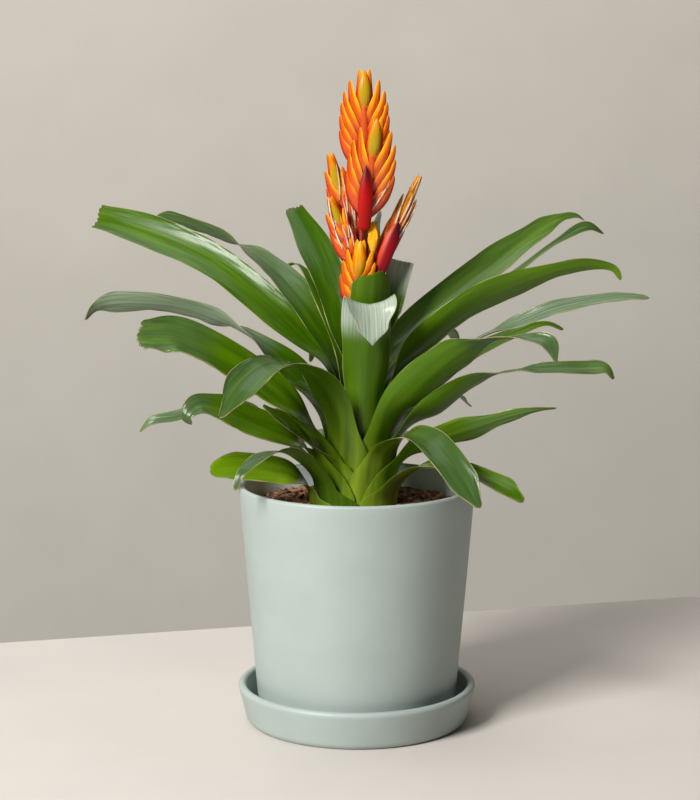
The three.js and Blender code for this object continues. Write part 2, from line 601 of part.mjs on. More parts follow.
makeSaucer();
makePot();
makeSoil();
makeCrown();
makeLeaves();
makeStem();
spikes.forEach(makeSpike);
primaryBracts.forEach(makePrimaryBract);

export default plant;
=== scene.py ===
import math
from functools import partial

import bpy
import numpy as np
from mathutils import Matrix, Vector


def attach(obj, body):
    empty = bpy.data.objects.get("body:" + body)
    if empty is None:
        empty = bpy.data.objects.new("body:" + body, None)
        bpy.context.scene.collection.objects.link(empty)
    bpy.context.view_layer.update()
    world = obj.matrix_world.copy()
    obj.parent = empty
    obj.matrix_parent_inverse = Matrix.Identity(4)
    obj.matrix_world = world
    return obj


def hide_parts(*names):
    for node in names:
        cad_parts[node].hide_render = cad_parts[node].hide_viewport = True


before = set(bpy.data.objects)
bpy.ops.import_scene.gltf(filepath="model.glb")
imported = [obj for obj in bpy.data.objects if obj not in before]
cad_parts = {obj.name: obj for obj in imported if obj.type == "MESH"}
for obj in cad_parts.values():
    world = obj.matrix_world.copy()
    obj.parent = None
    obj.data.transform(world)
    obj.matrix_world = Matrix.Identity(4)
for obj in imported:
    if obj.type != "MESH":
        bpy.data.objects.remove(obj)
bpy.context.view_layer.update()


# sRGB hex to linear: each channel c becomes c / 12.92 below 0.04045, else ((c + 0.055) / 1.055) ** 2.4
def linear(hexColour):
    channels = [int(hexColour[k:k + 2], 16) / 255 for k in (1, 3, 5)]
    return [c / 12.92 if c <= 0.04045 else ((c + 0.055) / 1.055) ** 2.4 for c in channels] + [1.0]


# smooth step from 0 at low to 1 at high: t * t * (3 - 2 * t), where t is how far x is between them
def smooth(x, low, high):
    t = np.clip((np.asarray(x, float) - low) / (high - low), 0, 1)
    return t * t * (3 - 2 * t)


# keyed value: eased from one [place, value] key to the next
def keyed(keys, s):
    places, values = np.array(keys, float).T
    k = np.clip(np.searchsorted(places, s), 1, len(places) - 1)
    t = smooth(s, places[k - 1], places[k])
    return values[k - 1] + (values[k] - values[k - 1]) * t


# vector divided by its length
def unit(v):
    return v / np.maximum(np.linalg.norm(v, axis=-1, keepdims=True), 1e-9)


# camelCase name of the piece that stands for a node
def camel(node):
    first, *rest = node.split("_")
    return first + "".join(word.capitalize() for word in rest)


# Puts whole arrays into a mesh that stands for a CAD node and has its name in camelCase, if none is given:
# points in mm, quads, point values and triangles. The faces are turned round if the sum of a x b . c over
# them, six times the volume, is negative.
def makePiece(node, slot, material, points, quads, values, triangles=np.zeros((0, 3), int), name=None):
    name = name or camel(node)
    a, b, c, d = (points[quads[:, k]] for k in range(4))
    e, f, g = (points[triangles[:, k]] for k in range(3))
    if sum(np.einsum("ij,ij->", np.cross(p, q), r) for p, q, r in ((a, b, c), (a, c, d), (e, f, g))) < 0:
        quads, triangles = quads[:, ::-1], triangles[:, ::-1]
    mesh = bpy.data.meshes.new(name)
    corners = np.concatenate([quads.ravel(), triangles.ravel()]).astype(np.int32)
    starts = np.concatenate([np.arange(len(quads)) * 4, len(quads) * 4 + np.arange(len(triangles)) * 3])
    mesh.vertices.add(len(points))
    mesh.vertices.foreach_set("co", (points * 0.001).astype(np.float32).ravel())
    mesh.loops.add(len(corners))
    mesh.loops.foreach_set("vertex_index", corners)
    mesh.polygons.add(len(starts))
    mesh.polygons.foreach_set("loop_start", starts.astype(np.int32))
    mesh.update(calc_edges=True)
    mesh.validate()
    mesh.polygons.foreach_set("use_smooth", np.full(len(mesh.polygons), True))
    mesh.materials.append(material)
    for key, value in values.items():
        layer = mesh.attributes.new(key, "FLOAT", "POINT")
        layer.data.foreach_set("value", np.asarray(value, np.float32))
    piece = bpy.data.objects.new(name, mesh)
    bpy.context.scene.collection.objects.link(piece)
    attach(piece, "root")
    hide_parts(node)


# angles in radians of evenly spread points once round a ring
def ringAngles(count):
    return np.linspace(0, 2 * math.pi, count, endpoint=False)


# places from one margin of a sheet, -1, to the other, 1, closer together at both: sines of even angles
def sheetPlaces(count):
    return np.sin(np.linspace(-math.pi / 2, math.pi / 2, count))


# faces of closed tubes whose points are (tube, row, ring place): the ring closes on itself, and each end is
# zipped shut by joining ring place j to its mirror, ring - 1 - j
def zipTubes(count, rows, ring):
    grid = np.arange(count * rows * ring).reshape(count, rows, ring)
    right = np.roll(grid, -1, axis=2)
    sides = [grid[:, :-1], grid[:, 1:], right[:, 1:], right[:, :-1]]
    near = np.arange(ring // 2 - 1)
    far = ring - 1 - near
    start, end = grid[:, 0], grid[:, -1]
    ends = [start[:, far], start[:, near], start[:, near + 1], start[:, far - 1]]
    tips = [end[:, near], end[:, far], end[:, far - 1], end[:, near + 1]]
    return np.concatenate([np.stack(faces, axis=-1).reshape(-1, 4) for faces in (sides, ends, tips)])


# points, quads and values of one mesh from parts of closed tubes, each with its points and its point values
def joinTubes(*parts):
    quads, first = [], 0
    for points, values in parts:
        *count, rows, ring, axes = points.shape
        quads.append(zipTubes(math.prod(count), rows, ring) + first)
        first += points.size // axes
    return (np.concatenate([points.reshape(-1, 3) for points, values in parts]), np.concatenate(quads),
            {key: np.concatenate([values[key].ravel() for points, values in parts]) for key in parts[0][1]})


# faces of a profile that is turned round the Z axis: a closed profile gives a ring, and an open one is
# shut by fans to two poles on the axis, which follow the points of the grid
def turnedFaces(places, sides, closed):
    grid = np.arange(sides * places).reshape(sides, places)
    right = np.roll(grid, -1, axis=0)
    if closed:
        above = np.roll(right, -1, axis=1), np.roll(grid, -1, axis=1)
        return np.stack([grid, right, *above], axis=-1).reshape(-1, 4), np.zeros((0, 3), int)
    quads = np.stack([grid[:, :-1], right[:, :-1], right[:, 1:], grid[:, 1:]], axis=-1).reshape(-1, 4)
    low, high = sides * places, sides * places + 1
    fans = [np.stack([np.full(sides, low), right[:, 0], grid[:, 0]], axis=-1),
            np.stack([np.full(sides, high), grid[:, -1], right[:, -1]], axis=-1)]
    return quads, np.concatenate(fans)


# a profile with its inner corners rounded: each becomes a quadratic arc that starts and ends at the given
# distance from it, or half the side where that is shorter, and a corner with 0 stays as it is
def rounded(profile, radii):
    profile = np.array(profile, float)
    t = np.linspace(0, 1, 7)[:, None]
    out = [profile[:1]]
    for before, here, after, radius in zip(profile, profile[1:], profile[2:], radii):
        a, b = (here + (other - here) * min(radius / np.linalg.norm(other - here), 0.5)
                for other in (before, after))
        out.append((1 - t) ** 2 * a + 2 * t * (1 - t) * here + t * t * b if radius else here[None])
    return np.concatenate([*out, profile[-1:]])


# straight line between two points of a profile, without its ends
def between(start, end, steps):
    return start + (end - start) * np.linspace(0, 1, steps)[1:-1, None]


# settings that most nodes of a kind share here, and the output read where that isn't the first
usualSettings = {"Mix": dict(data_type="RGBA"), "Math": dict(operation="MULTIPLY")}
usualOutput = {"Mix": 2, "Attribute": "Fac"}


# adds a node with its settings, fills its inputs with numbers, hex colours or links, hands back one output
def addNode(material, kind, inputs=None, output=None, **settings):
    tree = material.node_tree
    made = tree.nodes.new("ShaderNode" + kind)
    for key, value in (usualSettings.get(kind, {}) | settings).items():
        setattr(made, key, value)
    for key, value in (inputs or {}).items():
        if isinstance(value, bpy.types.NodeSocket):
            tree.links.new(value, made.inputs[key])
        else:
            made.inputs[key].default_value = linear(value) if isinstance(value, str) else value
    if made.outputs:
        return made.outputs[usualOutput.get(kind, 0) if output is None else output]


# a new material, and addNode with that material filled in
def startMaterial(name):
    material = bpy.data.materials.new(name)
    material.use_nodes = True
    material.node_tree.nodes.clear()
    return material, partial(addNode, material)


# the shader with its inputs, wired to the output
def finishMaterial(material, add, inputs):
    add("OutputMaterial", {"Surface": add("BsdfPrincipled", inputs)})
    return material


# noise that runs out along a piece: its place is (across * fine, along * long, seed)
def lengthwiseNoise(add, across, along, seed, fine, long, **more):
    place = {0: add("Math", {0: across, 1: fine}), 1: add("Math", {0: along, 1: long}), 2: seed}
    return add("TexNoise", {"Vector": add("CombineXYZ", place), "Scale": 1.0, "Detail": 3} | more)


pot = dict(sides=192, footRadius=69.0, rimRadius=82.5, top=169.0, wall=4.0, floor=7.0, bottom=7.0, drain=6.0)
saucer = dict(sides=192, footRadius=78.0, rimRadius=83.5, height=27.3, floor=7.0, lip=2.8, well=72.0)
# inside is a lighter colour for the inner wall: painted light where the plant shades it
glaze = dict(colour="#a1ada8", shade="#9da9a4", speck="#83908a", inside="#e4eeec", speckSize=0.7,
             roughness=0.5, push=0.06, evenInside=20.0)


# Stoneware with a matte sage glaze, thrown and fired: an even soft-grey green, a fine grain of darker
# specks and a faint orange-peel that breaks up the light. The lighter, bluer inside colour is painted light
# on the inner wall, which the plant shades.
def mattGlazedStoneware():
    material, add = startMaterial("mattGlazedStoneware")
    place = add("TexCoord", output="Object")
    cloud = add("TexNoise", {"Vector": place, "Scale": 1000 / 38, "Detail": 3})
    grain = add("TexNoise", {"Vector": place, "Scale": 1000 / glaze["speckSize"], "Detail": 2})
    peel = add("TexNoise", {"Vector": place, "Scale": 1000 / 1.6, "Detail": 3})
    worn = add("MapRange", {0: cloud, 1: 0.35, 2: 0.7}, interpolation_type="SMOOTHSTEP")
    specks = add("MapRange", {0: grain, 1: 0.6, 2: 0.78, 4: 0.45}, interpolation_type="SMOOTHSTEP")
    # painted light: the inner wall is mixed towards the lighter inside colour
    inside = add("Attribute", attribute_name="inside")
    colour = glaze["colour"]
    for part, paint in ((worn, "shade"), (specks, "speck"), (inside, "inside")):
        colour = add("Mix", {0: part, 6: colour, 7: glaze[paint]})
    rough = add("MapRange", {0: cloud, 1: 0.3, 2: 0.7, 3: glaze["roughness"] - 0.03,
                             4: glaze["roughness"] + 0.04})
    relief = add("Bump", {"Height": peel, "Distance": 0.00012, "Strength": 0.5})
    return finishMaterial(material, add, {
        "Base Color": colour, "Roughness": rough, "IOR": 1.5, "Normal": relief})


# half circle of the rim: centre plus radius times (cos, sin) of the angle from 0 to half a turn
def lip(centre, height, radius):
    angle = np.linspace(0, math.pi, 15)
    return np.stack([centre + radius * np.cos(angle), height + radius * np.sin(angle)], axis=-1)


# The profile turned round the axis and pushed out by the sum of two slow waves of 0.06 mm, sines of two
# and three turns that drift with height, as on a wheel, but not on the ground or near the axis.
def turnPiece(node, profile, inside, sides, closed, material):
    angle = ringAngles(sides)[:, None]
    radius, height = profile[:, 0][None], profile[:, 1][None]
    push = glaze["push"] * (np.sin(2 * angle + height / 40) + np.sin(3 * angle - height / 23))
    push = push * (radius > glaze["evenInside"]) * (np.abs(height) > 1e-6)
    around = np.stack([(radius + push) * np.cos(angle), (radius + push) * np.sin(angle),
                       height + 0 * angle], axis=-1)
    quads, fans = turnedFaces(len(profile), sides, closed)
    points = around.reshape(-1, 3)
    if not closed:
        points = np.concatenate([points, [[0, 0, profile[0, 1]], [0, 0, profile[-1, 1]]]])
    # painted-light mask for the inner wall, round every side, and 0 at the two poles
    paintedLightInside = np.concatenate([np.tile(inside, sides), [0, 0]])[:len(points)]
    makePiece(node, "glazed_ceramic", material, points, quads, {"inside": paintedLightInside}, fans, node + "Glazed")


# Pot: its profile runs from the drain hole out to the foot, straight up the outer wall, over the half
# circle of the rim, straight down the inner wall and over the floor back to the hole.
def makePot(material):
    foot, bottom, drain, rimLip = pot["footRadius"], pot["bottom"], pot["drain"], pot["wall"] / 2
    floorTop, inner = bottom + pot["floor"], foot - pot["wall"]
    walls = rounded([[drain, bottom], [foot - 4, bottom], [foot - 3.4, bottom + 0.01],
                     [foot + 0.15, bottom + 2.2]], [0, 0.4])
    rim = lip(pot["rimRadius"] - rimLip, pot["top"] - rimLip, rimLip)
    inside = rounded([[inner, floorTop + 3], [inner - 4, floorTop], [drain, floorTop], [drain, bottom]],
                     [2, 0.8])
    outer = between(walls[-1], rim[0], 26)
    profile = np.concatenate([walls, outer, rim, between(rim[-1], inside[0], 26), inside[:-1]])
    # from the inner side of the rim down the inner wall the glaze gets the lighter inside colour as painted
    # light
    paintedLightInside = np.arange(len(profile)) > len(walls) + len(outer) + len(rim) - 4
    turnPiece("pot", profile, paintedLightInside, pot["sides"], True, material)


# Saucer: a flat foot, a straight wall that leans out to the half circle of its rim, and a flat well.
def makeSaucer(material):
    foot, well, floor, rimLip = saucer["footRadius"], saucer["well"], saucer["floor"], saucer["lip"]
    rimCentre, rimHeight = saucer["rimRadius"] - rimLip, saucer["height"] - rimLip
    base = rounded([[1, 0], [foot - 2.2, 0], [foot + 0.1, 2.4]], [1.6])
    rim = lip(rimCentre, rimHeight, rimLip)
    hollow = rounded([[rimCentre - rimLip, rimHeight - 2], [well + 3.5, floor + 3], [well, floor],
                      [1, floor]], [3, 3])
    profile = np.concatenate([base, between(base[-1], rim[0], 12), rim, hollow])
    turnPiece("saucer", profile, np.zeros(len(profile)), saucer["sides"], False, material)


stoneware = mattGlazedStoneware()
makePot(stoneware)
makeSaucer(stoneware)
print("pot and saucer turned")


# in mm: level and mound of the top, hole round the crown and its depth, and inner, the radius at the top;
# the lowest ring is foot wide at bottom, and corner above it the wall runs from low to high [radius, height]
soil = dict(level=151.5, mound=3.0, hole=34.0, deep=14.0, inner=77.6, bottom=14.3, foot=60.5, corner=8.0,
            low=[64.4, 17.0], high=[77.2, 167.0], sides=200, rings=26, chips=2100, fibres=520, seed=7,
            bodyTone=0.12, dark="#5d4232", brown="#98694a", red="#b9835c", pale="#dcc0a0")


# Composted bark and coir, chopped and pressed damp into the pot: dark, dull, with reddish and pale chips.
def choppedBark():
    material, add = startMaterial("choppedBark")
    place = add("TexCoord", output="Object")
    tone = add("Attribute", attribute_name="tone")
    grain = add("TexNoise", {"Vector": place, "Scale": 1000 / 0.9, "Detail": 4, "Roughness": 0.65})
    change = add("Math", {0: grain, 1: 0.5, 2: -0.25}, operation="MULTIPLY_ADD")
    shade = add("Math", {0: tone, 1: change}, operation="ADD")
    colour = soil["dark"]
    for low, high, step in ((0.1, 0.5, "brown"), (0.5, 0.85, "red"), (0.88, 1.0, "pale")):
        part = add("MapRange", {0: shade, 1: low, 2: high}, interpolation_type="SMOOTHSTEP")
        colour = add("Mix", {0: part, 6: colour, 7: soil[step]})
    relief = add("Bump", {"Height": grain, "Distance": 0.0004, "Strength": 0.9})
    return finishMaterial(material, add, {"Base Color": colour, "Roughness": 0.88, "Normal": relief})


# height of the soil: the mound falls evenly from the plant to the wall, plus small repeatable waves
def soilHeight(radius, angle):
    fall = np.clip((radius - soil["hole"]) / (soil["inner"] - soil["hole"]), 0, 1)
    waves = (np.sin(angle * 5 + radius * 0.9) + np.sin(angle * 11 - radius * 1.7)
             + np.sin(angle * 17 + radius * 2.3))
    return soil["level"] + soil["mound"] * (1 - fall) + 0.35 * waves


# Soil: a turned body from the floor of the hole round the crown over the waved top and down the pot's
# wall to the bottom, with chips and fibres laid on it, as one mesh.
def makeSoil(material):
    holeFloor, bend = soil["level"] - soil["deep"], soil["bottom"] + soil["corner"]
    (lowRadius, low), (highRadius, high) = soil["low"], soil["high"]
    wall = lowRadius + (highRadius - lowRadius) * (bend - low) / (high - low)
    top = np.linspace(soil["hole"] - 1, soil["inner"] - 0.4, soil["rings"])
    profile = np.array([[soil["hole"] - 1, holeFloor], *[[r, 0] for r in top], [wall, bend],
                        [soil["foot"], soil["bottom"]]])
    angle = ringAngles(soil["sides"])[:, None]
    radius, height = (np.repeat(profile[None, :, k], soil["sides"], axis=0) for k in (0, 1))
    waved = slice(1, 1 + soil["rings"])
    height[:, waved] = soilHeight(radius[:, waved], angle)
    body = np.stack([radius * np.cos(angle), radius * np.sin(angle), height], axis=-1)
    quads, fans = turnedFaces(len(profile), soil["sides"], False)
    points = np.concatenate([body.reshape(-1, 3), [[0, 0, holeFloor], [0, 0, soil["bottom"]]]])
    loose, looseQuads, tones = joinTubes(makeChips(), makeFibres())
    tones = np.concatenate([np.full(len(points), soil["bodyTone"]), tones["tone"]])
    makePiece("soil", "bark_mix", material, np.concatenate([points, loose]),
              np.concatenate([quads, looseQuads + len(points)]), {"tone": tones}, fans, "barkMix")


# places spread evenly over the ring of soil: radius from the square root of a random share of the area
def scatter(draw, count):
    low, high = soil["hole"] - 2, soil["inner"] - 3.2
    radius = np.sqrt(draw.uniform(low ** 2, high ** 2, count))
    return radius, draw.uniform(0, 2 * math.pi, count)


# small pieces turned to their headings and laid on the soil, with their tones: x and y are turned, and z
# is raised by the soil's height and the lift
def layDown(x, y, z, heading, radius, angle, lift, tone):
    c, s, radius, angle, lift, tone = (v[:, None, None] for v in (np.cos(heading), np.sin(heading), radius,
                                                                  angle, lift, tone))
    laid = [x * c - y * s + radius * np.cos(angle), x * s + y * c + radius * np.sin(angle),
            z + (soilHeight(radius, angle) + lift)]
    return np.stack(laid, axis=-1), {"tone": tone + 0 * x}


# chips: rings of six jittered points along a short line, thin at both ends, tipped and turned at random
def makeChips():
    draw = np.random.default_rng(soil["seed"])
    count, rows, ring = soil["chips"], 4, 6
    radius, angle = scatter(draw, count)
    length = draw.uniform(2.5, 8.5, count) * draw.choice([0.6, 1, 1], count)
    width = length * draw.uniform(0.3, 0.6, count)
    thick = width * draw.uniform(0.3, 0.7, count)
    heading = draw.uniform(0, 2 * math.pi, count)
    pitch = draw.normal(0, 0.3, count)
    length, width, thick, pitch = (v[:, None, None] for v in (length, width, thick, pitch))
    x = (np.linspace(-0.5, 0.5, rows)[:, None] + draw.normal(0, 0.05, (count, rows, ring))) * length
    swell = np.array([0.55, 1.0, 0.95, 0.5])[:, None] * (1 + draw.normal(0, 0.14, (count, rows, ring)))
    y = np.cos(ringAngles(ring)) * swell * width / 2
    z = np.sin(ringAngles(ring)) * swell * thick / 2 + x * np.sin(pitch)
    radius = np.minimum(radius, soil["inner"] - 0.4 - 0.8 * np.hypot(x, y).max(axis=(1, 2)))
    lift = draw.uniform(-0.6, 1.3, count)
    return layDown(x, y, z, heading, radius, angle, lift, draw.beta(1.6, 2.2, count))


# coir fibres: thin four-sided threads that bow sideways and upwards by 4 t * t - 1 along their length
def makeFibres():
    draw = np.random.default_rng(soil["seed"] + 1)
    count, rows, ring = soil["fibres"], 7, 4
    radius, angle = scatter(draw, count)
    radius = np.minimum(radius, soil["inner"] - 6)
    length = draw.uniform(4, 13, count)
    heading = draw.uniform(0, 2 * math.pi, count)
    bow, rise = draw.normal(0, 1.6, count), draw.uniform(0.2, 1.6, count)
    thin = draw.uniform(0.12, 0.3, count)
    length, bow, rise, thin = (v[:, None, None] for v in (length, bow, rise, thin))
    t, turn = np.linspace(-0.5, 0.5, rows)[:, None], ringAngles(ring)
    x = t * length + 0 * turn
    y = bow * (4 * t * t - 1) + thin * (1 - 1.6 * t * t) * np.cos(turn)
    z = rise * (1 - 4 * t * t) + thin * (1 - 1.6 * t * t) * np.sin(turn)
    lift = draw.uniform(0, 0.9, count)
    return layDown(x, y, z, heading, radius, angle, lift, draw.uniform(0.3, 0.95, count))


makeSoil(choppedBark())
print("bark mix laid")


crown = dict(light="#8c8a4c", dark="#5c4a2a", ring=3.0)


# Living plant base, grown and scarred by old leaves: dull tan-green with close rings.
def scarredPlantBase():
    material, add = startMaterial("scarredPlantBase")
    place = add("TexCoord", output="Object")
    rings = add("TexWave", {"Vector": place, "Scale": 1000 / crown["ring"] / 6.3, "Distortion": 3.0,
                            "Detail": 2.0}, "Fac", bands_direction="Z")
    colour = add("Mix", {0: rings, 6: crown["dark"], 7: crown["light"]})
    relief = add("Bump", {"Height": rings, "Distance": 0.0003, "Strength": 0.6})
    return finishMaterial(material, add, {"Base Color": colour, "Roughness": 0.8, "Normal": relief})


plantBase = scarredPlantBase()
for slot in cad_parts["crown"].material_slots:
    slot.material = plantBase


# Each leaf: azimuth is its direction in degrees from +X towards +Y, layer how far out its sheath wraps the
# plant, rise the height where it leaves the column, route its [reach, height] points after that, and width
# (mm) and twist (degrees) are keys over its length; flat takes the bend round the plant out of it.
# Its looks: tone from 0 deep to 1 bright, partly the leaf's own green and partly painted light and shade,
# set leaf by leaf, young how yellow-green its sheath is, tip a point, round or cut, torn how ragged the cut
# is, wave of the margins in mm, crinkle of the end in mm, widen of its outer part, bare 0 where no pale
# margin shows on the sheath, and from waxFrom on, wax for a pale end and dull for a deeper one.
# Shared by all: base and inner are where the sheaths start, step how much further out each layer is, clasp,
# wrap and flare how a sheath holds the plant, thick the blade in mm, cup its least bend, lean how the
# plant leans to the right, and ends the share of the length in which a round or pointed end narrows.
leafShape = dict(base=146.0, thick=0.7, cup=1 / 26, inner=6.0, step=1.2, flare=1.0, wrap=0.82, halfWidth=16.0,
                 leanReach=4.0, leanFrom=150.0, leanTo=250.0, rows=150, columns=25, samples=700, clasp=1.35,
                 claspMost=30.0, crease=0.35, creaseWidth=0.09, dryTip=0.15, longWave=13.0, shortWave=5.7,
                 crinkleWave=4.1, ends=dict(round=0.05, point=0.022))
leafUsual = dict(twist=[[0, 0], [1, 0]], flat=0, tone=0.45, young=0.55, tip="point", torn=1, wave=0.5,
                 crinkle=0, widen=1, bare=1, wax=0, waxFrom=0.45, dull=0)
